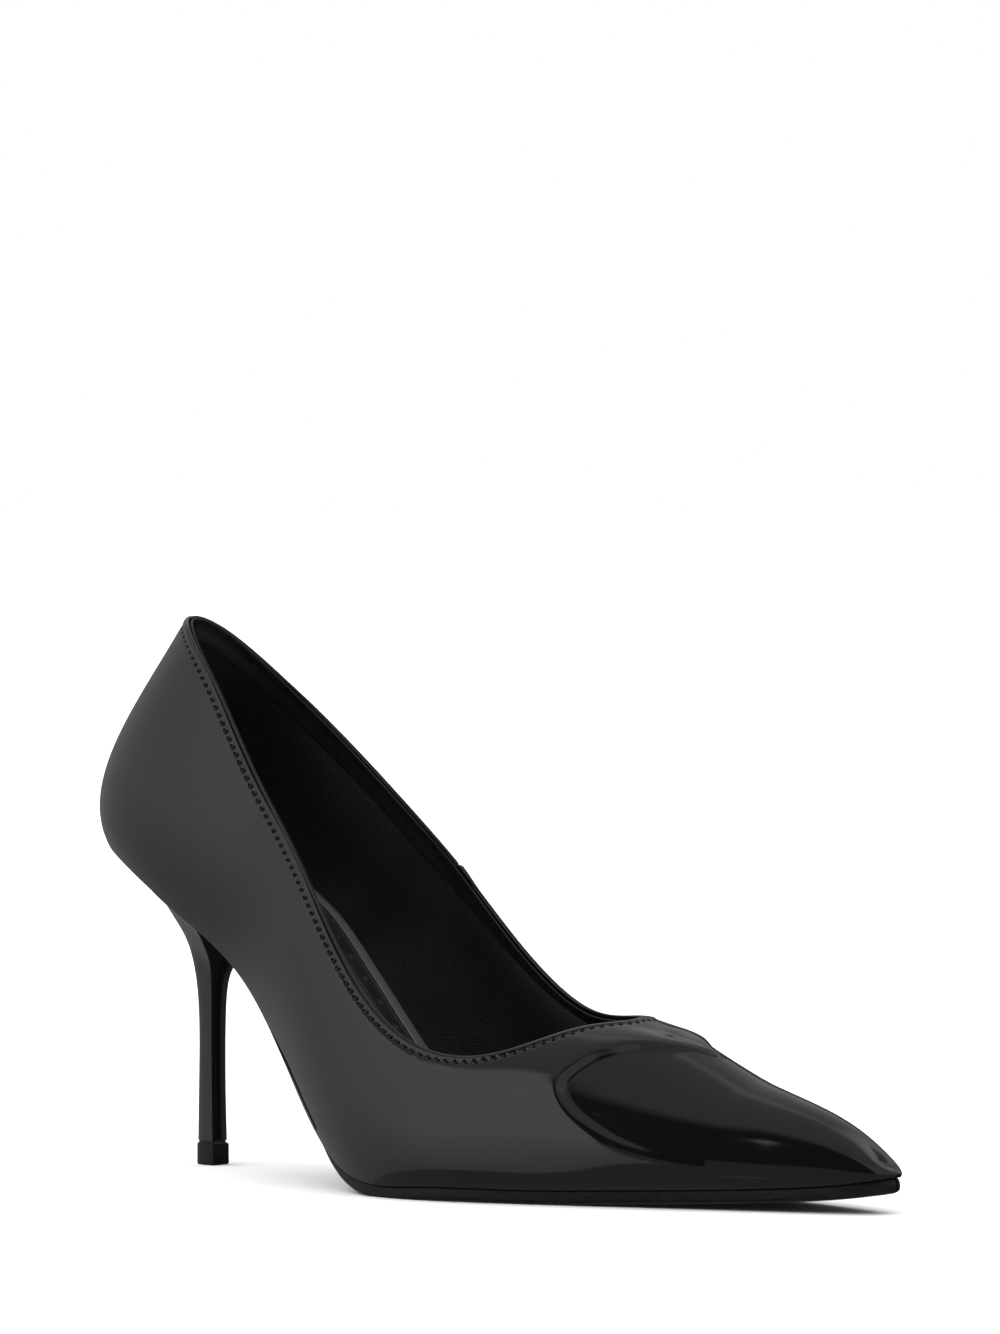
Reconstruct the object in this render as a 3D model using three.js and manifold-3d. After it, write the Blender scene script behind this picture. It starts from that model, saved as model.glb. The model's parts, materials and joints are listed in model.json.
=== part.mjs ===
// High heel pump, right shoe, black patent leather.
// Millimetres, +X towards the toe, +Y towards the inner (medial) side, +Z up.
// The shoe is modelled round its last: a feather line where the wall meets the sole, and a
// crown line where the wall closes over the foot. Every layer is an offset of that wall or of
// the bottom profile.

import * as THREE from 'three';
import { mergeVertices } from 'three/addons/utils/BufferGeometryUtils.js';
import Module from 'manifold-3d';

const wasm = await Module();
wasm.setup();

// ---------------------------------------------------------------- driving dimensions

const LATERAL = -1;
const MEDIAL = 1;
const TOE_SET = 4; // how far the toe tip leans to the medial side
const BEND_START = 100; // where the centre line starts to bend
const SHOE_END = 241.5; // feather line at the toe tip

const GAP = 0.3; // clearance between layers
const UPPER_THICK = 1.1;
const LINING_THICK = 0.6;
const STIFFENER_THICK = 0.7;
const MARGIN_WIDTH = 11; // upper turned in under the insole board
const BINDING_WIDTH = 5.4;
const BINDING_THICK = 0.6;
const STITCH_DROP = 1.8; // stitch line below the topline edge
const THREAD_RADIUS = 0.2;

const BOARD_LOW = UPPER_THICK + 0.4; // insole board above the feather surface
const BOARD_HIGH = BOARD_LOW + 1.8;
const BOARD_INSET = 3.4;
const BOARD_START = 0.045; // the insole board and the sock stop short of the toe tip
const SOCK_START = 0.075;
const SOCK_THICK = 0.8;
const HEEL_PAD_THICK = 2.2;
const FORE_PAD_THICK = 1.2;
const SOLE_THICK = 3.2;
const WAIST_SOLE_THICK = 1.8;

const TIP_HEIGHT = 5.7;
const COVER_THICK = 0.35;
const COVER_GAP = 0.45;
const STEM_AXIS_X = 31.1;
const DOWEL_RADIUS = 1.35;
const PIN_RADIUS = 0.65;
const BORE_CLEARANCE = 0.15;

// Stations of the last from the toe tip (0) to the back of the heel (1): feather line
// place, its half-widths and height, crown line place, half-width and height, and the
// angles at which the wall leaves the feather line and reaches the crown line.
const STATION_COLUMNS = [
  'at', 'featherX', 'lateral', 'medial', 'featherZ',
  'crownX', 'crownHalf', 'crownZ', 'lean', 'flare', 'rise', 'lowReach', 'highReach',
];
const STATIONS = [
  [0.000, 241.5, 0.0, 0.0, 8.8, 236.0, 0.0, 13.0, 0, 58, 0, 0.31, 0.33],
  [0.030, 240.0, 3.3, 3.3, 8.5, 234.0, 0.0, 15.0, 0, 57, 0, 0.30, 0.35],
  [0.085, 231.0, 8.2, 8.2, 7.0, 224.5, 0.0, 21.3, 0, 52, 0, 0.32, 0.42],
  [0.170, 207.0, 16.4, 15.0, 5.2, 202.0, 0.0, 29.0, 0, 46, 0, 0.31, 0.47],
  [0.280, 182.0, 25.2, 22.6, 4.2, 178.0, 0.0, 38.6, 0, 44, 0, 0.30, 0.45],
  [0.385, 158.0, 33.8, 30.3, 3.5, 156.0, 0.0, 45.4, 0, 48, 0, 0.30, 0.44],
  [0.485, 135.0, 40.4, 34.7, 3.4, 137.0, 0.0, 48.4, 2, 53, 0, 0.33, 0.47],
  [0.585, 112.0, 38.8, 32.4, 4.2, 118.0, 0.0, 62.7, 10, 58, 0, 0.34, 0.47],
  [0.685, 88.0, 29.6, 25.4, 19.5, 99.0, 0.0, 87.1, 20, 59, 5, 0.37, 0.45],
  [0.785, 63.0, 23.4, 23.5, 48.3, 80.0, 2.6, 113.0, 24, 59, 35, 0.37, 0.41],
  [0.870, 40.0, 24.2, 25.2, 65.2, 60.2, 10.8, 132.7, 22, 55, 70, 0.35, 0.37],
  [0.930, 20.0, 21.1, 22.7, 76.5, 44.4, 11.5, 140.9, 20, 53, 80, 0.35, 0.35],
  [0.970, 8.4, 11.9, 13.4, 80.4, 35.1, 5.8, 144.4, 20, 54, 80, 0.35, 0.35],
  [1.000, 4.5, 0.0, 0.0, 81.3, 31.3, 0.0, 145.0, 20, 55, 80, 0.35, 0.35],
];
const PARTING_STATION = 0.685;

// The topline from the throat (0) to the back (1): station and height up the wall.
const THROAT_STATION = 0.331;
const BACK_HEIGHT = 0.865;
const TOPLINE_KNOTS = [0, 0.1, 0.22, 0.36, 0.52, 0.68, 0.84, 1];
const TOPLINE = {
  [LATERAL]: {
    at: [THROAT_STATION, 0.374, 0.454, 0.563, 0.678, 0.799, 0.899, 1],
    up: [1, 0.788, 0.583, 0.53, 0.551, 0.611, 0.783, BACK_HEIGHT],
  },
  [MEDIAL]: {
    at: [THROAT_STATION, 0.375, 0.47, 0.568, 0.678, 0.801, 0.915, 1],
    up: [1, 0.822, 0.721, 0.658, 0.593, 0.639, 0.712, BACK_HEIGHT],
  },
};
const SEAM_PLACE = 0.553; // medial seam of the upper along the topline
const SEAM_HALF_GAP = 0.003;

// Heel sections from the seat (0) to the top of the heel tip (1).
const HEEL_KNOTS = [0, 0.12, 0.25, 0.42, 0.6, 0.8, 1];
const HEEL = {
  backX: [4.8, 13.0, 18.6, 24.3, 27.8, 28.1, 27.8],
  frontX: [46.5, 41.0, 37.2, 34.8, 34.1, 34.1, 34.4],
  half: [22.5, 14.8, 7.8, 3.6, 2.7, 2.6, 2.7],
  backZ: [80.7, 75.5, 66.0, 56.0, 42.0, 22.0, 6.0],
  frontZ: [61.0, 58.6, 53.0, 47.0, 36.0, 20.0, 6.0],
};
const BREAST_X = HEEL.frontX[0];
const TIP = { backX: 27.5, frontX: 34.8, half: 2.95 };

// ---------------------------------------------------------------- small maths

// Smooth curve through knots. A missing end slope leaves that end free.
function makeSpline(knots, values, startSlope = null, endSlope = null) {
  const n = knots.length;
  const lower = new Array(n).fill(0);
  const diag = new Array(n).fill(1);
  const upper = new Array(n).fill(0);
  const right = new Array(n).fill(0);
  const gap = (i) => knots[i + 1] - knots[i];
  const rate = (i) => (values[i + 1] - values[i]) / gap(i);
  for (let i = 1; i < n - 1; i += 1) {
    lower[i] = gap(i - 1);
    diag[i] = 2 * (gap(i - 1) + gap(i));
    upper[i] = gap(i);
    right[i] = 6 * (rate(i) - rate(i - 1));
  }
  if (startSlope !== null) {
    diag[0] = 2 * gap(0);
    upper[0] = gap(0);
    right[0] = 6 * (rate(0) - startSlope);
  }
  if (endSlope !== null) {
    diag[n - 1] = 2 * gap(n - 2);
    lower[n - 1] = gap(n - 2);
    right[n - 1] = 6 * (endSlope - rate(n - 2));
  }
  for (let i = 1; i < n; i += 1) {
    const factor = lower[i] / diag[i - 1];
    diag[i] -= factor * upper[i - 1];
    right[i] -= factor * right[i - 1];
  }
  const bend = new Array(n).fill(0);
  bend[n - 1] = right[n - 1] / diag[n - 1];
  for (let i = n - 2; i >= 0; i -= 1) {
    bend[i] = (right[i] - upper[i] * bend[i + 1]) / diag[i];
  }
  return (x) => {
    let i = 0;
    while (i < n - 2 && x > knots[i + 1]) i += 1;
    const h = gap(i);
    const a = (knots[i + 1] - x) / h;
    const b = (x - knots[i]) / h;
    const curve = (a ** 3 - a) * bend[i] + (b ** 3 - b) * bend[i + 1];
    return a * values[i] + b * values[i + 1] + (curve * h * h) / 6;
  };
}

const clamp = THREE.MathUtils.clamp;
const lerp = THREE.MathUtils.lerp;
const smooth = THREE.MathUtils.smoothstep;
const radians = THREE.MathUtils.degToRad;
const vec = (x, y, z) => new THREE.Vector3(x, y, z);

function range(count, from = 0, to = 1) {
  return Array.from({ length: count + 1 }, (_, i) => from + ((to - from) * i) / count);
}

// ---------------------------------------------------------------- the last

const stationKnots = STATIONS.map((row) => row[0]);
const FLAT_ENDED = ['featherX', 'featherZ', 'crownX', 'crownZ'];
const last = {};
STATION_COLUMNS.slice(1).forEach((name, index) => {
  const values = STATIONS.map((row) => row[index + 1]);
  const slope = FLAT_ENDED.includes(name) ? 0 : null;
  last[name] = makeSpline(stationKnots, values, slope, slope);
});

function centreY(x) {
  return TOE_SET * clamp((x - BEND_START) / (SHOE_END - BEND_START), 0, 1) ** 1.5;
}

function halfWidth(side, t) {
  return side === LATERAL ? last.lateral(t) : last.medial(t);
}

// The two sides close on the centre line in front of the instep and part behind it.
function crownHalfWidth(t) {
  return t <= PARTING_STATION ? 0 : last.crownHalf(t);
}

function featherPlan(side, t) {
  const x = last.featherX(t);
  return [x, centreY(x) + side * halfWidth(side, t)];
}

// Outward horizontal normal of the feather line.
function featherNormal(side, t) {
  if (t <= 0) return vec(1, 0, 0);
  if (t >= 1) return vec(-1, 0, 0);
  const step = 1e-4;
  const [x0, y0] = featherPlan(side, clamp(t - step, 0, 1));
  const [x1, y1] = featherPlan(side, clamp(t + step, 0, 1));
  return vec((y1 - y0) * side, -(x1 - x0) * side, 0).normalize();
}

// A point on the outside of the upper, h up the wall from feather (0) to crown (1).
function wallPoint(side, t, h) {
  const step = 1e-4;
  const [fx, fy] = featherPlan(side, t);
  const feather = vec(fx, fy, last.featherZ(t));
  const cx = last.crownX(t);
  const crown = vec(cx, centreY(cx) + side * crownHalfWidth(t), last.crownZ(t));
  const out = featherNormal(side, t);
  const lean = radians(last.lean(t));
  const up = vec(Math.sin(lean), 0, Math.cos(lean));
  const flare = radians(last.flare(t));
  const leave = out.clone().multiplyScalar(Math.cos(flare)).addScaledVector(up, Math.sin(flare));
  const before = clamp(t - step, 0, 1);
  const after = clamp(t + step, 0, 1);
  const run = last.crownX(after) - last.crownX(before);
  const climb = last.crownZ(after) - last.crownZ(before);
  const slope = clamp(climb / Math.min(run, -1e-9), -3, 3);
  const inward = out.clone().negate();
  inward.z += inward.x * slope;
  const rise = radians(last.rise(t));
  const arrive = inward.multiplyScalar(Math.cos(rise)).addScaledVector(up, Math.sin(rise));
  const chord = crown.distanceTo(feather);
  const low = feather.clone().addScaledVector(leave, last.lowReach(t) * chord);
  const high = crown.clone().addScaledVector(arrive, -last.highReach(t) * chord);
  return new THREE.CubicBezierCurve3(feather, low, high, crown).getPoint(h);
}

function oneSideNormal(side, t, h) {
  const step = 1e-3;
  const t0 = Math.max(t - step, 0);
  const t1 = Math.min(t + step, 1);
  const h0 = Math.max(h - step, 0);
  const h1 = Math.min(h + step, 1);
  const along = wallPoint(side, t1, h).sub(wallPoint(side, t0, h));
  const upward = wallPoint(side, t, h1).sub(wallPoint(side, t, h0));
  return along.cross(upward).multiplyScalar(side).normalize();
}

// Outward normal of the wall. Both sides agree where they meet.
function wallNormal(side, t, h) {
  const normal = oneSideNormal(side, t, h);
  const onEnd = t <= 0 || t >= 1;
  const onCrown = h >= 1 && t <= THROAT_STATION;
  if (onEnd || onCrown) normal.add(oneSideNormal(-side, t, h)).normalize();
  return normal;
}

function layerPoint(side, t, h, depth) {
  return wallPoint(side, t, h).addScaledVector(wallNormal(side, t, h), -depth);
}

const topline = {};
[LATERAL, MEDIAL].forEach((side) => {
  topline[side] = {
    at: makeSpline(TOPLINE_KNOTS, TOPLINE[side].at, 0, null),
    up: makeSpline(TOPLINE_KNOTS, TOPLINE[side].up, null, 0),
  };
});

function toplinePlace(side, q) {
  if (q <= 0) return [THROAT_STATION, 1];
  if (q >= 1) return [1, BACK_HEIGHT];
  return [topline[side].at(q), topline[side].up(q)];
}

// The place on the wall a given distance below the topline.
function belowTopline(side, q, distance) {
  let [t, h] = toplinePlace(side, q);
  if (distance === 0) return [t, h];
  const step = 2e-3;
  const start = wallPoint(side, ...toplinePlace(side, Math.max(q - step, 0)));
  const end = wallPoint(side, ...toplinePlace(side, Math.min(q + step, 1)));
  const run = end.sub(start);
  if (q <= 0) run.set(0, side, 0);
  if (q >= 1) run.set(0, -side, 0);
  const drop = wallNormal(side, t, h).cross(run).multiplyScalar(-side).normalize();
  const target = wallPoint(side, t, h).addScaledVector(drop, distance);
  for (let round = 0; round < 4; round += 1) {
    const small = 1e-4;
    const here = wallPoint(side, t, h);
    const dt = wallPoint(side, t - small, h).sub(here).divideScalar(-small);
    const dh = wallPoint(side, t, h - small).sub(here).divideScalar(-small);
    const miss = target.clone().sub(here);
    if (q <= 0) dh.set(0, 0, 0);
    if (q >= 1) dt.set(0, 0, 0);
    const a = dt.dot(dt);
    const b = dt.dot(dh);
    const c = dh.dot(dh);
    const u = dt.dot(miss);
    const v = dh.dot(miss);
    const det = a * c - b * b;
    if (q <= 0) t += u / a;
    else if (q >= 1) h += v / c;
    else {
      t = clamp(t + (u * c - v * b) / det, 0, 1);
      h = clamp(h + (v * a - u * b) / det, 0, 1);
    }
  }
  return [t, h];
}

// ---------------------------------------------------------------- the bottom profile

// Station of the feather line at a given x.
function stationAt(x) {
  let low = 0;
  let high = 1;
  for (let i = 0; i < 40; i += 1) {
    const middle = (low + high) / 2;
    if (last.featherX(middle) > x) low = middle;
    else high = middle;
  }
  return (low + high) / 2;
}

function profileZ(x) {
  return last.featherZ(stationAt(x));
}

// A point at a distance above (or below) the bottom profile.
function profilePoint(x, y, above) {
  const reach = 1.5;
  const x0 = clamp(x - reach, HEEL.backX[0], SHOE_END - 2 * reach);
  const slope = (profileZ(x0 + 2 * reach) - profileZ(x0)) / (2 * reach);
  const size = Math.hypot(slope, 1);
  return vec(x - (slope * above) / size, y, profileZ(x) + above / size);
}

// Edge of a bottom layer, set in from the feather line.
function insetEdge(side, t, inset) {
  const [x, y] = featherPlan(side, t);
  const out = featherNormal(side, t);
  const ex = x - out.x * inset;
  const ey = y - out.y * inset;
  const centre = centreY(ex);
  return [ex, centre + side * Math.max(0, (ey - centre) * side)];
}

// First station where both edges of a layer have parted.
function openStation(inset) {
  const width = (t) => {
    const [, left] = insetEdge(LATERAL, t, inset);
    const [, right] = insetEdge(MEDIAL, t, inset);
    return right - left;
  };
  let t = 0;
  while (width(t) < 0.05) t += 0.0005;
  return t;
}

// ---------------------------------------------------------------- mesh building

class Skin {
  constructor() {
    this.points = [];
  }

  triangle(a, b, c) {
    this.points.push(a, b, c);
  }

  quad(a, b, c, d) {
    this.triangle(a, b, c);
    this.triangle(a, c, d);
  }

  // A grid of points; flip turns its faces over and keeps their diagonals.
  grid(rows, flip) {
    for (let i = 0; i < rows.length - 1; i += 1) {
      for (let j = 0; j < rows[i].length - 1; j += 1) {
        const [a, b, c, d] = [rows[i][j], rows[i][j + 1], rows[i + 1][j + 1], rows[i + 1][j]];
        if (flip) this.quad(c, b, a, d);
        else this.quad(a, b, c, d);
      }
    }
  }

  geometry() {
    const values = this.points.flatMap((p) => [p.x, p.y, p.z]);
    const loose = new THREE.BufferGeometry();
    loose.setAttribute('position', new THREE.Float32BufferAttribute(values, 3));
    return tidied(loose);
  }
}

// Joins points that coincide and drops the triangles that this closes up.
function tidied(geometry) {
  geometry.deleteAttribute('normal');
  geometry.deleteAttribute('uv');
  const merged = mergeVertices(geometry, 1e-4);
  const index = merged.getIndex().array;
  const kept = [];
  for (let i = 0; i < index.length; i += 3) {
    const [a, b, c] = [index[i], index[i + 1], index[i + 2]];
    if (a !== b && b !== c && c !== a) kept.push(a, b, c);
  }
  merged.setIndex(kept);
  merged.computeVertexNormals();
  return merged;
}

// A sheet between an outer and an inner grid, with rims along the edges asked for.
function addSheet(skin, outer, inner, flip, rims) {
  skin.grid(outer, flip);
  skin.grid(inner, !flip);
  const rim = (line) => skin.grid(line, flip);
  const firstRow = [outer[0], inner[0]];
  const lastRow = [inner[inner.length - 1], outer[outer.length - 1]];
  if (rims.first) rim([firstRow[1], firstRow[0]]);
  if (rims.last) rim([lastRow[1], lastRow[0]]);
  for (let i = 0; i < outer.length - 1; i += 1) {
    const end = outer[i].length - 1;
    if (rims.bottom) {
      rim([[inner[i][0], outer[i][0]], [inner[i + 1][0], outer[i + 1][0]]]);
    }
    if (rims.top && rims.top(i)) {
      rim([[outer[i][end], inner[i][end]], [outer[i + 1][end], inner[i + 1][end]]]);
    }
  }
}

function toSolid(geometry) {
  const merged = tidied(geometry.clone());
  const position = merged.getAttribute('position').array;
  const triangles = merged.getIndex().array;
  return new wasm.Manifold(new wasm.Mesh({
    numProp: 3,
    vertProperties: new Float32Array(position),
    triVerts: new Uint32Array(triangles),
  }));
}

function fromSolid(solid) {
  const mesh = solid.getMesh();
  const geometry = new THREE.BufferGeometry();
  geometry.setAttribute('position', new THREE.Float32BufferAttribute(mesh.vertProperties, 3));
  geometry.setIndex(Array.from(mesh.triVerts));
  geometry.computeVertexNormals();
  return geometry;
}

function cut(geometry, cutters) {
  const solid = cutters.reduce((rest, cutter) => rest.subtract(toSolid(cutter)), toSolid(geometry));
  return fromSolid(solid);
}

// ---------------------------------------------------------------- wall layers

// Every layer of the wall uses the same columns and rows, so that their facets stay parallel.
const WALL_ROWS = 6;
const CLOSED_COLUMNS = 12;
const OPEN_COLUMNS = 27;
const BAND_DEPTH = BINDING_WIDTH + GAP; // band below the topline that takes the binding
const BAND_DROPS = [BAND_DEPTH, BAND_DEPTH / 2, 0];

// Places along the topline, closer together at the throat and at the back.
const OPEN_PLACES = range(OPEN_COLUMNS).map((k) => lerp(k, (1 - Math.cos(Math.PI * k)) / 2, 0.5));

// Columns in front of the throat reach the ridge of the vamp.
function closedColumns(side, from, to = 1) {
  const [throat] = belowTopline(side, 0, BAND_DEPTH);
  const stations = range(CLOSED_COLUMNS).slice(0, -1).map((k) => throat * k ** 1.3);
  return stations.filter((t) => t >= from && t <= to).map((t) => ({ t, top: 1, closed: true }));
}

// Columns behind the throat reach the lower edge of the topline band.
function openColumns(side, from, to) {
  return OPEN_PLACES.filter((q) => q >= from && q <= to).map((q) => {
    const [t, top] = belowTopline(side, q, BAND_DEPTH);
    return { t, top, q, closed: false };
  });
}

// Rows up the wall, closer together near the feather line.
const ROW_SHARES = range(WALL_ROWS).map((k) => k ** 1.35);

function layerGrid(side, columns, shares, depth) {
  return columns.map(({ t, top }) => shares.map((share) => (
    layerPoint(side, t, share * top, depth(t))
  )));
}

// Grid of the topline band between given drops below the edge.
function bandGrid(side, places, drops, depth) {
  return places.map((q) => drops.map((drop) => {
    const [t, h] = belowTopline(side, q, drop);
    return layerPoint(side, t, h, depth);
  }));
}

// Turned-in margin of the upper, from its free edge to the feather line.
function marginRow(side, t, above) {
  const halves = t < 0.5 ? 0.75 * halfWidth(side, t) : MARGIN_WIDTH;
  const width = Math.min(MARGIN_WIDTH, halves);
  return [1, 0.45].map((share) => {
    const [x, y] = featherPlan(side, t);
    const out = featherNormal(side, t);
    const set = width * share;
    return profilePoint(x - out.x * set, y - out.y * set, above);
  });
}

function upperPiece(skin, side, columns, rims) {
  const face = (depth) => {
    const wall = layerGrid(side, columns, ROW_SHARES, () => depth);
    return wall.map((row, i) => [...marginRow(side, columns[i].t, depth), ...row]);
  };
  const places = columns.filter((column) => !column.closed).map((column) => column.q);
  const band = (depth) => bandGrid(side, places, BAND_DROPS, depth);
  addSheet(skin, face(0), face(UPPER_THICK), side > 0, { ...rims, bottom: true });
  addSheet(skin, band(0), band(UPPER_THICK), side > 0, { ...rims, top: () => true });
}

// One piece of leather round the whole shoe, closed by a seam on the medial side.
function upper() {
  const skin = new Skin();
  const seam = { lateral: 0, medial: SEAM_PLACE };
  const front = openColumns(MEDIAL, seam.lateral, seam.medial);
  const back = openColumns(MEDIAL, seam.medial, 1);
  const parted = (column, shift) => {
    const q = SEAM_PLACE + shift;
    const [t, top] = belowTopline(MEDIAL, q, BAND_DEPTH);
    return { ...column, t, top, q };
  };
  const frontEdge = parted(front[0], -SEAM_HALF_GAP);
  const backEdge = parted(front[0], SEAM_HALF_GAP);
  const lateral = [...closedColumns(LATERAL, 0), ...openColumns(LATERAL, 0, 1)];
  upperPiece(skin, LATERAL, lateral, {});
  const medial = [...closedColumns(MEDIAL, 0), ...front];
  upperPiece(skin, MEDIAL, [...medial, { ...frontEdge, closed: false }], { last: true });
  upperPiece(skin, MEDIAL, [{ ...backEdge, closed: false }, ...back], { first: true });
  return skin.geometry();
}

const FIRST_LAYER = UPPER_THICK + GAP;
const STIFFENER_DEPTH = FIRST_LAYER + 0.15;
const SECOND_LAYER = STIFFENER_DEPTH + STIFFENER_THICK + GAP + 0.15;

// Depth of the lining: deeper where a stiffener lies between it and the upper.
function liningDepth(t) {
  const toe = 1 - smooth(t, 0.27, 0.33);
  const heel = smooth(t, 0.68, 0.76);
  return lerp(FIRST_LAYER, SECOND_LAYER, Math.max(toe, heel));
}

const LINING_SHARES = [0.03, ...ROW_SHARES.slice(1)];
const LINING_START = 0.09;
const LINING_JOIN = 0.6;

function liningPiece(skin, side, columns, rims) {
  const outer = layerGrid(side, columns, LINING_SHARES, liningDepth);
  const inner = layerGrid(side, columns, LINING_SHARES,
    (t) => liningDepth(t) + LINING_THICK);
  const top = (i) => !columns[i].closed;
  addSheet(skin, outer, inner, side > 0, { ...rims, bottom: true, top });
}

function vampLining() {
  const skin = new Skin();
  [LATERAL, MEDIAL].forEach((side) => {
    const columns = [...closedColumns(side, LINING_START), ...openColumns(side, 0, LINING_JOIN)];
    liningPiece(skin, side, columns, { first: true, last: true });
  });
  return skin.geometry();
}

function quarterLining() {
  const skin = new Skin();
  [LATERAL, MEDIAL].forEach((side) => {
    const columns = openColumns(side, LINING_JOIN, 1);
    const [t, top] = belowTopline(side, LINING_JOIN, BAND_DEPTH);
    liningPiece(skin, side, [{ t, top, closed: false }, ...columns], { first: true });
  });
  return skin.geometry();
}

function stiffenerPiece(skin, side, columns, rims) {
  const shares = ROW_SHARES.slice(1);
  const outer = layerGrid(side, columns, shares, () => STIFFENER_DEPTH);
  const inner = layerGrid(side, columns, shares, () => STIFFENER_DEPTH + STIFFENER_THICK);
  addSheet(skin, outer, inner, side > 0, { ...rims, first: true, bottom: true });
}

function toePuff() {
  const skin = new Skin();
  [LATERAL, MEDIAL].forEach((side) => {
    stiffenerPiece(skin, side, closedColumns(side, 0.04, 0.25), { last: true });
  });
  return skin.geometry();
}

// Moulded counter, cut away in a curve towards the waist.
function counterStiffener() {
  const skin = new Skin();
  [LATERAL, MEDIAL].forEach((side) => {
    const columns = openColumns(side, 0.78, 1).map((column) => {
      const wing = smooth(column.q, 0.74, 0.93);
      return { ...column, top: lerp(0.25, column.top * 0.96, wing) };
    });
    stiffenerPiece(skin, side, columns, { top: () => true });
  });
  return skin.geometry();
}

function toplineBinding() {
  const skin = new Skin();
  const drops = [BINDING_WIDTH, BAND_DEPTH / 2, 0];
  [LATERAL, MEDIAL].forEach((side) => {
    const strip = (depth) => bandGrid(side, OPEN_PLACES, drops, depth);
    const outer = strip(FIRST_LAYER);
    const inner = strip(FIRST_LAYER + BINDING_THICK);
    addSheet(skin, outer, inner, side > 0, { bottom: true, top: () => true });
  });
  return skin.geometry();
}

const THREAD_PLACES = OPEN_PLACES.flatMap((q, i) => (
  i === 0 ? [q] : [(OPEN_PLACES[i - 1] + q) / 2, q]
));

// Closed loop of thread lying along the stitch line.
function toplineThread() {
  const sidesOfThread = 4;
  const outwards = THREAD_RADIUS + 0.14;
  const ring = (side, q) => {
    const [t, h] = belowTopline(side, q, STITCH_DROP);
    const normal = wallNormal(side, t, h);
    const [t2, h2] = belowTopline(side, q, STITCH_DROP + 1);
    const down = wallPoint(side, t2, h2).sub(wallPoint(side, t, h)).normalize();
    const centre = layerPoint(side, t, h, -outwards);
    return range(sidesOfThread).map((k) => {
      const angle = 2 * Math.PI * k;
      const spot = centre.clone().addScaledVector(normal, THREAD_RADIUS * Math.cos(angle));
      return spot.addScaledVector(down, THREAD_RADIUS * Math.sin(angle));
    });
  };
  const skin = new Skin();
  const lateral = THREAD_PLACES.map((q) => ring(LATERAL, q));
  const medial = THREAD_PLACES.map((q) => ring(MEDIAL, q));
  skin.grid(lateral, true);
  skin.grid(medial, false);
  return skin.geometry();
}

// ---------------------------------------------------------------- bottom layers

// A plate that follows the bottom profile. low and high give its faces above the profile at
// x and across = -1 (lateral edge) to 1 (medial edge).
function plate({ stations, inset, low, high, columns = 4, shape = (p) => p }) {
  const skin = new Skin();
  const face = (level) => stations.map((t) => {
    const set = typeof inset === 'function' ? inset(t) : inset;
    const [x0, y0] = insetEdge(LATERAL, t, set);
    const [x1, y1] = insetEdge(MEDIAL, t, set);
    return range(columns, -1, 1).map((across) => {
      const x = lerp(x0, x1, (across + 1) / 2);
      const y = lerp(y0, y1, (across + 1) / 2);
      return shape(profilePoint(x, y, level(x, across)));
    });
  });
  const upperFace = face(high);
  const lowerFace = face(low);
  skin.grid(upperFace, false);
  skin.grid(lowerFace, true);
  skin.grid([upperFace[0], lowerFace[0]], true);
  const end = stations.length - 1;
  skin.grid([upperFace[end], lowerFace[end]], false);
  for (let i = 0; i < end; i += 1) {
    const pair = (j) => [[lowerFace[i][j], upperFace[i][j]], [lowerFace[i + 1][j], upperFace[i + 1][j]]];
    skin.grid(pair(0), false);
    skin.grid(pair(columns), true);
  }
  return skin.geometry();
}

function stationsFrom(start, end, count) {
  return range(count).map((k) => lerp(start, end, k));
}

function hump(x, from, to, edge) {
  return smooth(x, from, from + edge) * (1 - smooth(x, to - edge, to));
}

const HEEL_PAD_SPAN = [12, 56];
const FORE_PAD_SPAN = [116, 178];

// How far the two pads lift the sock.
function cushion(x, across) {
  const dome = 1 - 0.55 * across * across;
  const heel = HEEL_PAD_THICK * hump(x, HEEL_PAD_SPAN[0] - 2, HEEL_PAD_SPAN[1] + 10, 16);
  const fore = FORE_PAD_THICK * hump(x, FORE_PAD_SPAN[0] - 8, FORE_PAD_SPAN[1] + 8, 18);
  return (heel + fore) * dome;
}

function insoleBoard(cutters) {
  const stations = stationsFrom(BOARD_START, 1, 30);
  const board = plate({
    stations, inset: BOARD_INSET, low: () => BOARD_LOW, high: () => BOARD_HIGH, columns: 2,
  });
  return cut(board, cutters);
}

function pad(span, inset) {
  const stations = stationsFrom(stationAt(span[1]), stationAt(span[0]), 12);
  return plate({
    stations,
    inset,
    low: () => BOARD_HIGH + GAP,
    high: (x, across) => BOARD_HIGH + GAP + cushion(x, across) * 0.93 + 0.02,
    columns: 4,
  });
}

const SOCK_LOW = BOARD_HIGH + 2 * GAP;

function sockLining() {
  return plate({
    stations: stationsFrom(SOCK_START, 1, 32),
    inset: BOARD_INSET,
    low: (x, across) => SOCK_LOW + cushion(x, across),
    high: (x, across) => SOCK_LOW + SOCK_THICK + cushion(x, across),
    columns: 4,
  });
}

// Narrow glossy strip laid round the edge of the sock, open towards the toe.
function sockEdgeStrip() {
  const skin = new Skin();
  const outerInset = BOARD_INSET + 0.3;
  const stripWidth = 1.9;
  const stations = stationsFrom(0.3, 1, 22);
  const lift = SOCK_LOW + SOCK_THICK + 0.25;
  [LATERAL, MEDIAL].forEach((side) => {
    const strip = (above) => stations.map((t) => (
      [outerInset, outerInset + stripWidth].map((inset) => {
        const [x, y] = insetEdge(side, t, inset);
        return profilePoint(x, y, above + cushion(x, 0.9));
      })
    ));
    const rims = { first: true, bottom: true, top: () => true };
    addSheet(skin, strip(lift + 0.35), strip(lift), side > 0, rims);
  });
  return skin.geometry();
}

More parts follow.
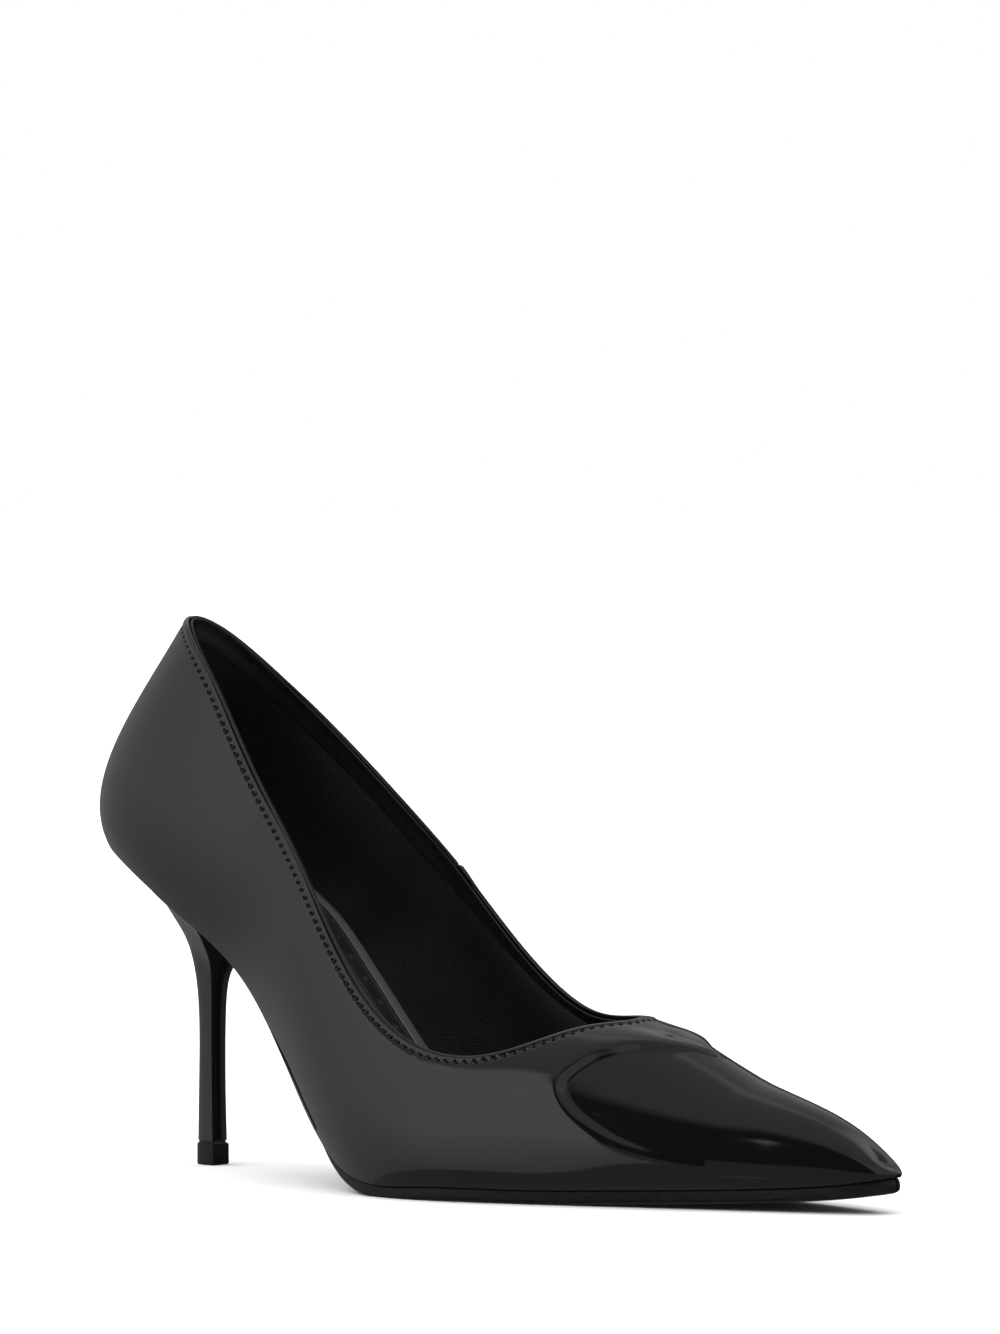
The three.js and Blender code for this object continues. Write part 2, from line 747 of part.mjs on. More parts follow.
function bottomFiller() {
  return plate({
    stations: stationsFrom(0.13, stationAt(118), 18),
    inset: (t) => Math.min(MARGIN_WIDTH, 0.75 * halfWidth(LATERAL, t)) + 0.9,
    low: () => 0.15,
    high: () => UPPER_THICK,
    columns: 2,
  });
}

const SHANK_SPAN = [25, 112];

// Steel spring under the waist of the insole board.
function shank(cutters) {
  const skin = new Skin();
  const rows = range(22, SHANK_SPAN[0], SHANK_SPAN[1]).map((x) => {
    const end = Math.min(x - SHANK_SPAN[0], SHANK_SPAN[1] - x);
    const half = 4 * Math.sqrt(clamp(end / 6, 0.12, 1));
    const ring = [[-half, 0.1], [-half, 1.1], [half, 1.1], [half, 0.1], [-half, 0.1]];
    return ring.map(([y, above]) => profilePoint(x, y, above));
  });
  skin.grid(rows, true);
  const first = rows[0];
  const final = rows[rows.length - 1];
  skin.quad(first[0], first[1], first[2], first[3]);
  skin.quad(final[3], final[2], final[1], final[0]);
  return cut(skin.geometry(), cutters);
}

// Thin in the waist, full in the forepart, flat where it treads.
function outsole() {
  const breast = stationAt(BREAST_X + 0.6);
  const waist = (x) => smooth(x, 72, 118);
  const thick = (x) => lerp(WAIST_SOLE_THICK, SOLE_THICK, waist(x));
  const inset = (t) => lerp(4.5, 0.6, waist(last.featherX(t)));
  return plate({
    stations: stationsFrom(openStation(0.6), breast, 36),
    inset,
    low: (x) => -GAP - thick(x),
    high: () => -GAP,
    columns: 4,
    shape: (p) => vec(p.x, p.y, Math.max(0, p.z)),
  });
}

// ---------------------------------------------------------------- heel

const heel = {};
Object.keys(HEEL).forEach((name) => {
  heel[name] = makeSpline(HEEL_KNOTS, HEEL[name]);
});

// Outline of the heel seat as shares of its depth and half-width.
function seatShape(share) {
  const side = share < 0 ? LATERAL : MEDIAL;
  const t = lerp(1, stationAt(BREAST_X), Math.abs(share) ** 1.3);
  const [x, y] = insetEdge(side, t, GAP);
  const depth = (BREAST_X - x) / (BREAST_X - HEEL.backX[0]);
  return [Math.max(0, depth), y / HEEL.half[0]];
}

// Outline of the stem: a rounded D with its flat face at the breast.
function stemShape(share) {
  const angle = (share * Math.PI) / 2;
  return [Math.cos(angle) ** 0.75, Math.sin(angle)];
}

// A point on the heel, q down from the seat, round from share -1 (lateral corner) past the
// back (0) to 1 (medial corner), inset by a depth.
function heelPoint(q, share, inset) {
  const seat = seatShape(share);
  const stem = stemShape(share);
  const blend = smooth(q, 0, 0.3);
  const depth = lerp(seat[0], stem[0], blend);
  const across = lerp(seat[1], stem[1], blend);
  const back = heel.backX(q) + inset;
  const front = heel.frontX(q) - inset;
  const x = lerp(front, back, depth);
  const y = (heel.half(q) - inset) * across;
  const level = lerp(heel.frontZ(q), heel.backZ(q), depth);
  const seatLevel = profilePoint(x, y, -GAP).z;
  return vec(x, y, lerp(seatLevel, level, smooth(q, 0, 0.1)));
}

// Points round a heel section, starting and ending at the middle of the breast.
function heelRing(q, inset, aroundCount, slit) {
  const arc = range(aroundCount, -1, 1).map((share) => heelPoint(q, share, inset));
  const lateral = arc[0];
  const medial = arc[arc.length - 1];
  const width = medial.distanceTo(lateral);
  const breast = (share) => {
    const spot = lateral.clone().lerp(medial, share);
    const hollow = Math.min(BREAST_HOLLOW, width / 20);
    spot.x -= hollow * (1 - (2 * share - 1) ** 2);
    return spot;
  };
  const split = slit / width;
  return [breast(0.5 - split), breast(0.25), ...arc, breast(0.75), breast(0.5 + split)];
}

const HEEL_LEVELS = range(14).map((k) => k ** 1.15);
const HEEL_AROUND = 16;
const BREAST_HOLLOW = 1.2; // how far the breast is hollowed at the top

// Patent skin wrapped round the heel block, its edges meeting down the breast.
function heelCover() {
  const skin = new Skin();
  const slit = 0.12;
  const outer = HEEL_LEVELS.map((q) => heelRing(q, 0, HEEL_AROUND, slit));
  const inner = HEEL_LEVELS.map((q) => heelRing(q, COVER_THICK, HEEL_AROUND, slit));
  addSheet(skin, outer, inner, false, { first: true, last: true, bottom: true, top: () => true });
  return skin.geometry();
}

function heelCore(cutters) {
  const skin = new Skin();
  const inset = COVER_THICK + COVER_GAP;
  const rings = HEEL_LEVELS.map((q) => heelRing(q, inset, HEEL_AROUND, 0));
  skin.grid(rings, false);
  const cap = (ring, flip) => {
    const end = ring.length - 1;
    const ladder = range(end / 2, 0, end / 2).map((k) => [ring[k], ring[end - k]]);
    skin.grid(ladder, flip);
  };
  cap(rings[0], false);
  cap(rings[rings.length - 1], true);
  return cut(skin.geometry(), cutters);
}

// A round piece turned about the line x, y, from its profile of [radius, z] points.
function turned(profile, x, y, segments = 16) {
  const outline = profile.map(([r, z]) => new THREE.Vector2(r, z));
  const geometry = new THREE.LatheGeometry(outline, segments);
  geometry.rotateX(Math.PI / 2);
  geometry.translate(x, y, 0);
  return tidied(geometry);
}

const CORE_BOTTOM = HEEL.backZ[HEEL.backZ.length - 1];
const DOWEL_SPAN = [CORE_BOTTOM + 1, 43];
const PIN_SPAN = [2, 18];

function dowel() {
  const inner = PIN_RADIUS + BORE_CLEARANCE;
  const [low, high] = DOWEL_SPAN;
  const outline = [
    [inner, low], [DOWEL_RADIUS, low], [DOWEL_RADIUS, high], [inner, high], [inner, low],
  ];
  return turned(outline, STEM_AXIS_X, 0, 18);
}

function dowelBore() {
  const radius = DOWEL_RADIUS + BORE_CLEARANCE;
  const outline = [[0, 0], [radius, 0], [radius, DOWEL_SPAN[1] + 0.3], [0, DOWEL_SPAN[1] + 0.3]];
  return turned(outline, STEM_AXIS_X, 0, 18);
}

function tipPin() {
  const [low, high] = PIN_SPAN;
  const outline = [[0, low], [PIN_RADIUS, low], [PIN_RADIUS, high - 0.6], [0.3, high], [0, high]];
  return turned(outline, STEM_AXIS_X, 0, 12);
}

// Top piece: a D block a little wider than the stem, with a bore for its pin.
function heelTip() {
  const skin = new Skin();
  const gapAbove = 0;
  const levels = [[0, -0.25], [0.5, 0], [TIP_HEIGHT - 0.9, 0], [TIP_HEIGHT - gapAbove, -0.35]];
  const rings = levels.map(([z, grow]) => {
    const arc = range(16, -1, 1).map((share) => {
      const [depth, across] = stemShape(share);
      const x = lerp(TIP.frontX + grow, TIP.backX - grow, depth);
      return vec(x, (TIP.half + grow) * across, z);
    });
    return [...arc, arc[0]];
  });
  skin.grid(rings, true);
  const cap = (ring, flip) => {
    const centre = vec(STEM_AXIS_X, 0, ring[0].z);
    for (let k = 0; k < ring.length - 1; k += 1) {
      if (flip) skin.triangle(centre, ring[k + 1], ring[k]);
      else skin.triangle(centre, ring[k], ring[k + 1]);
    }
  };
  cap(rings[0], false);
  cap(rings[rings.length - 1], true);
  const radius = PIN_RADIUS + BORE_CLEARANCE;
  const low = PIN_SPAN[0] - BORE_CLEARANCE;
  const bore = turned([[0, low], [radius, low], [radius, 9], [0, 9]], STEM_AXIS_X, 0, 12);
  return cut(skin.geometry(), [bore]);
}

// ---------------------------------------------------------------- fasteners

// A headed fastener standing upright, its head sunk in the insole board.
function fastenerOutline({ top, length, radius, head, headHeight }) {
  return [
    [0, top - length], [radius * 0.4, top - length + radius], [radius, top - length + 3 * radius],
    [radius, top - headHeight], [head, top - headHeight * 0.8], [head, top], [0, top],
  ];
}

function fastenerHole({ top, length, radius, head, headHeight }) {
  const room = 0.25;
  const above = top + 8;
  return [
    [0, top - length - room], [radius + room, top - length - room],
    [radius + room, top - headHeight - room], [head + room, top - headHeight - room],
    [head + room, above], [0, above],
  ];
}

function headLevel(x, sink) {
  return profilePoint(x, 0, BOARD_HIGH).z - sink;
}

const SCREW = {
  x: 30, y: 0, top: headLevel(30, 1.6), length: 25, radius: 1.9, head: 2.9, headHeight: 1.1,
};
const NAIL_PLACES = [[20.5, -5.2], [20.5, 5.2], [30, -8.5], [30, 8.5]];
const NAILS = NAIL_PLACES.map(([x, y]) => ({
  x, y, top: headLevel(x, 1.2), length: 8.5, radius: 0.7, head: 1.5, headHeight: 0.6,
}));
const RIVETS = [46, 98].map((x) => ({
  x, y: 0, top: headLevel(x, 1.5), length: 0, radius: 1.3, head: 2.2, headHeight: 0.6,
}));

function fastener(spec) {
  return turned(fastenerOutline(spec), spec.x, spec.y, 12);
}

function hole(spec) {
  return turned(fastenerHole(spec), spec.x, spec.y, 12);
}

// Rivets stand square to the profile and join the shank to the insole board.
function rivetFrame(x) {
  const foot = profilePoint(x, 0, 0);
  const axis = profilePoint(x, 0, 10).sub(foot).normalize();
  const turn = new THREE.Quaternion().setFromUnitVectors(vec(0, 0, 1), axis);
  return new THREE.Matrix4().compose(foot, turn, vec(1, 1, 1));
}

function rivet({ x, radius, head }) {
  const outline = [
    [0, 0.05], [radius, 0.05], [radius, BOARD_HIGH - 0.8], [head, BOARD_HIGH - 0.7],
    [head, BOARD_HIGH - 0.1], [0, BOARD_HIGH - 0.1],
  ];
  return turned(outline, 0, 0, 12).applyMatrix4(rivetFrame(x));
}

function rivetHole({ x, radius, head }) {
  const room = 0.2;
  const outline = [
    [0, -2], [radius + room, -2], [radius + room, BOARD_HIGH - 1], [head + room, BOARD_HIGH - 1],
    [head + room, BOARD_HIGH + 3], [0, BOARD_HIGH + 3],
  ];
  return turned(outline, 0, 0, 12).applyMatrix4(rivetFrame(x));
}

// ---------------------------------------------------------------- materials

function material(color, roughness, metalness = 0) {
  return new THREE.MeshStandardMaterial({ color, roughness, metalness });
}

const patent = material(0x0b0b0c, 0.06);
const patentEdge = material(0x101010, 0.25);
const softLining = material(0x111111, 0.75);
const threadBlack = material(0x141414, 0.6);
const fibreboard = material(0x6f5a42, 0.9);
const cork = material(0xa27a4c, 0.95);
const foam = material(0xd8d2c0, 0.95);
const stiffener = material(0xb9ad97, 0.85);
const springSteel = material(0x8b8f94, 0.35, 1);
const nailSteel = material(0x9aa0a6, 0.3, 1);
const heelPlastic = material(0x2a2a2c, 0.55);
const tipRubber = material(0x0d0d0e, 0.4);
const soleLeather = material(0x121212, 0.3);

// ---------------------------------------------------------------- assembly

const lastFrame = new THREE.Group();

function add(name, geometry, look) {
  const mesh = new THREE.Mesh(geometry, look);
  mesh.name = name;
  lastFrame.add(mesh);
}

const nailHoles = NAILS.map(hole);
const rivetHoles = RIVETS.map(rivetHole);

add('upper', upper(), patent);
add('topline_binding', toplineBinding(), patentEdge);
add('topline_thread', toplineThread(), threadBlack);
add('vamp_lining', vampLining(), softLining);
add('quarter_lining', quarterLining(), softLining);
add('toe_puff', toePuff(), stiffener);
add('counter_stiffener', counterStiffener(), stiffener);
add('insole_board', insoleBoard([hole(SCREW), ...nailHoles, ...rivetHoles]), fibreboard);
add('shank', shank([hole(SCREW), ...rivetHoles]), springSteel);
RIVETS.forEach((spec, i) => add(`shank_rivet_${i + 1}`, rivet(spec), nailSteel));
add('bottom_filler', bottomFiller(), cork);
add('heel_pad', pad(HEEL_PAD_SPAN, 6), foam);
add('forepart_pad', pad(FORE_PAD_SPAN, 7), foam);
add('sock_lining', sockLining(), softLining);
add('sock_edge_strip', sockEdgeStrip(), patentEdge);
add('outsole', outsole(), soleLeather);
add('heel_core', heelCore([dowelBore(), hole(SCREW), ...nailHoles]), heelPlastic);
add('heel_cover', heelCover(), patent);
add('heel_dowel', dowel(), springSteel);
add('heel_screw', fastener(SCREW), nailSteel);
NAILS.forEach((spec, i) => add(`heel_nail_${i + 1}`, fastener(spec), nailSteel));
add('heel_tip', heelTip(), tipRubber);
add('heel_tip_pin', tipPin(), nailSteel);

// The row's origin is under the middle of the shoe, on the floor.
const box = new THREE.Box3().setFromObject(lastFrame);
const middle = box.getCenter(vec(0, 0, 0));
lastFrame.position.set(-middle.x, -middle.y, 0);

const group = new THREE.Group();
group.add(lastFrame);

export default group;
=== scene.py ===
# High heel pump in black patent leather: the looks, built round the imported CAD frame.
# Shapes are worked out in the last's own millimetres (heel at x = 4.5, toe at x = 241.5, the
# inner side at +y) and are moved into the row frame, in metres, when a mesh is made.
import json
import math

import bpy
import numpy as np
from mathutils import Matrix, Vector


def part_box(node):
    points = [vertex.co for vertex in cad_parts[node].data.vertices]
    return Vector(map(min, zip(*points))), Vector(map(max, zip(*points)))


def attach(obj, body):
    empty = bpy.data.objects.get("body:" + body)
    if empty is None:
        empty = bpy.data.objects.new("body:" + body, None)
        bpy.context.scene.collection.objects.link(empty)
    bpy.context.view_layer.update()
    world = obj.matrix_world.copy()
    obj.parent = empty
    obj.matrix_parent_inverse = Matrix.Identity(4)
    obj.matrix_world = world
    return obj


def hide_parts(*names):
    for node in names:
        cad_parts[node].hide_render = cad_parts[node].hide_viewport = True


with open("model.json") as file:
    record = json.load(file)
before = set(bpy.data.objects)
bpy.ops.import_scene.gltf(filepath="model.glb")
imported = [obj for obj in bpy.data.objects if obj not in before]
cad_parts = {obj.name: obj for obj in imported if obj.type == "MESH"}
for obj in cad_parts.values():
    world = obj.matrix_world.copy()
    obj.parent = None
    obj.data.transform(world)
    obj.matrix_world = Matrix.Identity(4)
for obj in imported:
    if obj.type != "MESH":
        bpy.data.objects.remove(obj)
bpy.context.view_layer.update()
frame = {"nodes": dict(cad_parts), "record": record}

# ---------- driving dimensions (mm)

LATERAL, MEDIAL = SIDES = -1, 1
TOE_SET = 4.0
BEND_START = 100.0
SHOE_END = 241.5
GAP = 0.3
UPPER_THICK = 1.1
LINING_THICK = 0.6
LINING_DEPTH = 1.4
STIFFENER_ROOM = 1.3
BINDING_THICK = 0.7
BINDING_WIDTH = 5.4
MARGIN_WIDTH = 11.0
BAND_DEPTH = 5.7
STITCH_DROP = 1.8
STITCH_PITCH = 2.4
BOARD_LOW = UPPER_THICK + 0.4
BOARD_HIGH = BOARD_LOW + 1.8
SOCK_INSET = 3.1
SOCK_START = 0.075
SOCK_THICK = 0.8
SOCK_SEAMS = (4.4, 9.6)
SOCK_STITCH_PITCH = 1.6
DOT_LINE = 7.0
DOT_PITCH = 4.4
STRIP_START = 0.3
STRIP_INSET = 0.35
STRIP_WIDTH = 3.3
SOLE_THICK = 3.2
WAIST_SOLE_THICK = 1.8
COVER_THICK = 0.35
COVER_SLIT = 0.10
CORE_INSET = 0.8
TIP_BACK_X = 27.5
TIP_FRONT_X = 34.8
TIP_HALF = 2.95
TIP_HEIGHT = 5.7
STEM_AXIS_X = 31.1
PARTING_STATION = 0.685
THROAT_STATION = 0.331
BACK_HEIGHT = 0.865
SEAM_PLACE = 0.553

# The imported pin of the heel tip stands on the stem's axis, which ties the two frames together.
pin_low, pin_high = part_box("heel_tip_pin")
SHIFT = np.array([
    (pin_low[0] + pin_high[0]) / 2 - STEM_AXIS_X / 1000,
    (pin_low[1] + pin_high[1]) / 2,
    0.0,
])

# Stations of the last from the toe tip (0) to the back of the heel (1), as in the CAD: feather
# line, crown line and the angles and reaches of the wall between them. They come from a
# scratch program's fit to the photograph's outline, rounded and evened out by hand.
STATION_COLUMNS = (
    "featherX", "lateral", "medial", "featherZ", "crownX", "crownHalf", "crownZ",
    "lean", "flare", "rise", "lowReach", "highReach",
)
STATIONS = (
    (0.000, 241.5, 0.0, 0.0, 8.8, 236.0, 0.0, 13.0, 0, 58, 0, 0.31, 0.33),
    (0.030, 240.0, 3.3, 3.3, 8.5, 234.0, 0.0, 15.0, 0, 57, 0, 0.30, 0.35),
    (0.085, 231.0, 8.2, 8.2, 7.0, 224.5, 0.0, 21.3, 0, 52, 0, 0.32, 0.42),
    (0.170, 207.0, 16.4, 15.0, 5.2, 202.0, 0.0, 29.0, 0, 46, 0, 0.31, 0.47),
    (0.280, 182.0, 25.2, 22.6, 4.2, 178.0, 0.0, 38.6, 0, 44, 0, 0.30, 0.45),
    (0.385, 158.0, 33.8, 30.3, 3.5, 156.0, 0.0, 45.4, 0, 48, 0, 0.30, 0.44),
    (0.485, 135.0, 40.4, 34.7, 3.4, 137.0, 0.0, 48.4, 2, 53, 0, 0.33, 0.47),
    (0.585, 112.0, 38.8, 32.4, 4.2, 118.0, 0.0, 62.7, 10, 58, 0, 0.34, 0.47),
    (0.685, 88.0, 29.6, 25.4, 19.5, 99.0, 0.0, 87.1, 20, 59, 5, 0.37, 0.45),
    (0.785, 63.0, 23.4, 23.5, 48.3, 80.0, 2.6, 113.0, 24, 59, 35, 0.37, 0.41),
    (0.870, 40.0, 24.2, 25.2, 65.2, 60.2, 10.8, 132.7, 22, 55, 70, 0.35, 0.37),
    (0.930, 20.0, 21.1, 22.7, 76.5, 44.4, 11.5, 140.9, 20, 53, 80, 0.35, 0.35),
    (0.970, 8.4, 11.9, 13.4, 80.4, 35.1, 5.8, 144.4, 20, 54, 80, 0.35, 0.35),
    (1.000, 4.5, 0.0, 0.0, 81.3, 31.3, 0.0, 145.0, 20, 55, 80, 0.35, 0.35),
)
# The topline from the throat (0) to the back (1): stations, then heights up the wall. The
# values between its ends are the same fit's, rounded.
TOPLINE_KNOTS = (0, 0.1, 0.22, 0.36, 0.52, 0.68, 0.84, 1)
TOPLINE = {
    LATERAL: (
        (THROAT_STATION, 0.374, 0.454, 0.563, 0.678, 0.799, 0.899, 1),
        (1, 0.788, 0.583, 0.53, 0.551, 0.611, 0.783, BACK_HEIGHT),
    ),
    MEDIAL: (
        (THROAT_STATION, 0.375, 0.47, 0.568, 0.678, 0.801, 0.915, 1),
        (1, 0.822, 0.721, 0.658, 0.593, 0.639, 0.712, BACK_HEIGHT),
    ),
}
# Heel sections from the seat (0) down to the top of the heel tip (1).
HEEL_KNOTS = (0, 0.12, 0.25, 0.42, 0.6, 0.8, 1)
HEEL = {
    "backX": (4.8, 13.0, 18.6, 24.3, 27.8, 28.1, 27.8),
    "frontX": (46.5, 41.0, 37.2, 34.8, 34.1, 34.1, 34.4),
    "half": (22.5, 14.8, 7.8, 3.6, 2.7, 2.6, 2.7),
    "backZ": (80.7, 75.5, 66.0, 56.0, 42.0, 22.0, 6.0),
    "frontZ": (61.0, 58.6, 53.0, 47.0, 36.0, 20.0, 6.0),
}
BREAST_X = HEEL["frontX"][0]

# Rounded lip moulded across the vamp: its station for each height up the wall, the same on
# both sides, so that it draws two lobes that meet in a shallow dip on the ridge. A scratch
# program put points picked on the photograph onto the last; they are rounded here.
LIP_HEIGHTS = (
    0.0, 0.19, 0.25, 0.30, 0.36, 0.43, 0.50, 0.54, 0.615, 0.683, 0.74, 0.79, 0.87, 0.966, 1.0,
)
LIP_STATIONS = (
    0.12, 0.251, 0.291, 0.317, 0.345, 0.367, 0.378, 0.378,
    0.368, 0.353, 0.334, 0.316, 0.280, 0.245, 0.228,
)
LIP_RISE = 1.5
LIP_STEP_SHARE = 0.75  # share of the rise that falls in the steep step on the toe side
LIP_FALL = 2.8  # width of that step
LIP_RUN_OUT = 17.0  # length over which the rest falls
LIP_SPREAD = {LATERAL: 13.5, MEDIAL: 6.5}  # how far the swell runs back towards the heel
LIP_RIDGE_SPREAD = 5.0
LIP_SHIFT = 1.8  # on the sides the crest lies this far toeward of its line
LIP_CURVE = 1.25  # how the swell leaves the crest there: 1 is sharp and 2 is round
LIP_PARTS = 4  # the line is searched in this many parts, to save memory
SADDLE_DEPTH = 0.9  # hollow on the ridge between the lip and the throat
SADDLE_PLACE = 9.5
SADDLE_WIDTH = 5.0
SADDLE_END = (0.255, 0.305)


# ---------- small maths

def make_spline(knots, values, start=None, end=None):
    """Smooth curve through knots. A missing end slope leaves that end free."""
    x = np.asarray(knots, float)
    y = np.asarray(values, float)
    n = len(x)
    gap = np.diff(x)
    rate = np.diff(y) / gap
    matrix = np.eye(n)
    right = np.zeros(n)
    for i in range(1, n - 1):
        matrix[i, i - 1:i + 2] = gap[i - 1], 2 * (gap[i - 1] + gap[i]), gap[i]
        right[i] = 6 * (rate[i] - rate[i - 1])
    if start is not None:
        matrix[0, :2] = 2 * gap[0], gap[0]
        right[0] = 6 * (rate[0] - start)
    if end is not None:
        matrix[-1, -2:] = gap[-1], 2 * gap[-1]
        right[-1] = 6 * (end - rate[-1])
    bend = np.linalg.solve(matrix, right)

    def curve(at):
        at = np.asarray(at, float)
        i = np.clip(np.searchsorted(x, at, side="right") - 1, 0, n - 2)
        h = gap[i]
        a = (x[i + 1] - at) / h
        b = (at - x[i]) / h
        bow = (a ** 3 - a) * bend[i] + (b ** 3 - b) * bend[i + 1]
        return a * y[i] + b * y[i + 1] + bow * h * h / 6

    return curve


def pair(a, b):
    return np.broadcast_arrays(np.asarray(a, float), np.asarray(b, float))


def smooth(x, low, high):
    k = np.clip((np.asarray(x, float) - low) / (high - low), 0, 1)
    return k * k * (3 - 2 * k)


def lerp(a, b, k):
    return a + (b - a) * k


def unit(v):
    return v / np.maximum(np.linalg.norm(v, axis=-1, keepdims=True), 1e-12)


# ---------- the last

STEP = 1e-4
FLAT_ENDED = ("featherX", "featherZ", "crownX", "crownZ")
last = {}
for column, name in enumerate(STATION_COLUMNS):
    slope = 0 if name in FLAT_ENDED else None
    values = [row[column + 1] for row in STATIONS]
    last[name] = make_spline([row[0] for row in STATIONS], values, slope, slope)
topline = {
    side: (
        make_spline(TOPLINE_KNOTS, TOPLINE[side][0], 0, None),
        make_spline(TOPLINE_KNOTS, TOPLINE[side][1], None, 0),
    )
    for side in TOPLINE
}
heel_curve = {name: make_spline(HEEL_KNOTS, values) for name, values in HEEL.items()}


def centre_y(x):
    return TOE_SET * np.clip((np.asarray(x) - BEND_START) / (SHOE_END - BEND_START), 0, 1) ** 1.5


def half_width(side, t):
    return last["lateral" if side == LATERAL else "medial"](t)


def feather_plan(side, t):
    x = last["featherX"](t)
    return x, centre_y(x) + side * half_width(side, t)


def feather_normal(side, t):
    """Outward horizontal normal of the feather line."""
    t = np.asarray(t, float)
    x0, y0 = feather_plan(side, np.clip(t - STEP, 0, 1))
    x1, y1 = feather_plan(side, np.clip(t + STEP, 0, 1))
    out = unit(np.stack([(y1 - y0) * side, -(x1 - x0) * side, np.zeros_like(t)], -1))
    out[t <= 0] = (1, 0, 0)
    out[t >= 1] = (-1, 0, 0)
    return out


def wall_point(side, t, h):
    """A point on the outside of the upper, h up the wall from feather (0) to crown (1)."""
    t, h = pair(t, h)
    fx, fy = feather_plan(side, t)
    feather = np.stack([fx, fy, last["featherZ"](t)], -1)
    cx = last["crownX"](t)
    crown_half = np.where(t <= PARTING_STATION, 0, last["crownHalf"](t))
    crown = np.stack([cx, centre_y(cx) + side * crown_half, last["crownZ"](t)], -1)
    out = feather_normal(side, t)
    lean = np.radians(last["lean"](t))
    up = np.stack([np.sin(lean), np.zeros_like(lean), np.cos(lean)], -1)
    flare = np.radians(last["flare"](t))[..., None]
    leave = out * np.cos(flare) + up * np.sin(flare)
    before, after = np.clip(t - STEP, 0, 1), np.clip(t + STEP, 0, 1)
    run = last["crownX"](after) - last["crownX"](before)
    climb = last["crownZ"](after) - last["crownZ"](before)
    slope = np.clip(climb / np.minimum(run, -1e-9), -3, 3)
    inward = -out
    inward[..., 2] += inward[..., 0] * slope
    rise = np.radians(last["rise"](t))[..., None]
    arrive = inward * np.cos(rise) + up * np.sin(rise)
    chord = np.linalg.norm(crown - feather, axis=-1, keepdims=True)
    low = feather + leave * last["lowReach"](t)[..., None] * chord
    high = crown - arrive * last["highReach"](t)[..., None] * chord
    k = h[..., None]
    near_feather = (1 - k) ** 3 * feather + 3 * (1 - k) ** 2 * k * low
    return near_feather + 3 * (1 - k) * k * k * high + k ** 3 * crown


def one_side_normal(side, t, h):
    step = 1e-3
    along = wall_point(side, np.minimum(t + step, 1), h) - wall_point(side, np.maximum(t - step, 0), h)
    upward = wall_point(side, t, np.minimum(h + step, 1)) - wall_point(side, t, np.maximum(h - step, 0))
    return unit(np.cross(along, upward) * side)


def wall_normal(side, t, h):
    """Outward normal of the wall. Both sides agree where they meet."""
    t, h = pair(t, h)
    normal = one_side_normal(side, t, h)
    shared = (t <= 0) | (t >= 1) | ((h >= 1) & (t <= THROAT_STATION))
    both = unit(normal + one_side_normal(-side, t, h))
    return np.where(shared[..., None], both, normal)


def below_topline(side, q, drop):
    """The places on the wall at distances below the topline."""
    q, drop = pair(q, drop)
    front, back = q <= 0, q >= 1

    def place(k):
        k = np.clip(k, 0, 1)
        return topline[side][0](k), topline[side][1](k)

    t, h = place(q)
    start = wall_point(side, *place(q - 2e-3))
    end = wall_point(side, *place(q + 2e-3))
    run = end - start
    run[front] = (0, side, 0)
    run[back] = (0, -side, 0)
    across = unit(-side * np.cross(wall_normal(side, t, h), run))
    target = wall_point(side, t, h) + across * drop[..., None]
    for _ in range(4):
        here = wall_point(side, t, h)
        dt = (here - wall_point(side, t - STEP, h)) / STEP
        dh = (here - wall_point(side, t, h - STEP)) / STEP
        dh[front] = 0
        dt[back] = 0
        miss = target - here
        a, b, c = (dt * dt).sum(-1), (dt * dh).sum(-1), (dh * dh).sum(-1)
        u, v = (dt * miss).sum(-1), (dh * miss).sum(-1)
        det = a * c - b * b
        det = np.where(np.abs(det) < 1e-12, 1, det)
        step_t = np.where(back, 0, (u * c - v * b) / det)
        step_t = np.where(front, u / np.maximum(a, 1e-12), step_t)
        step_h = np.where(front, 0, (v * a - u * b) / det)
        step_h = np.where(back, v / np.maximum(c, 1e-12), step_h)
        moving = drop != 0
        t = np.where(moving, np.clip(t + step_t, 0, 1), t)
        h = np.where(moving, np.clip(h + step_h, 0, 1), h)
    return t, h


# ---------- the moulded lip

lip_station = make_spline(LIP_HEIGHTS, LIP_STATIONS)
lip_heights = np.linspace(0.12, 1, 260)
lip_lines = {side: wall_point(side, lip_station(lip_heights), lip_heights) for side in SIDES}


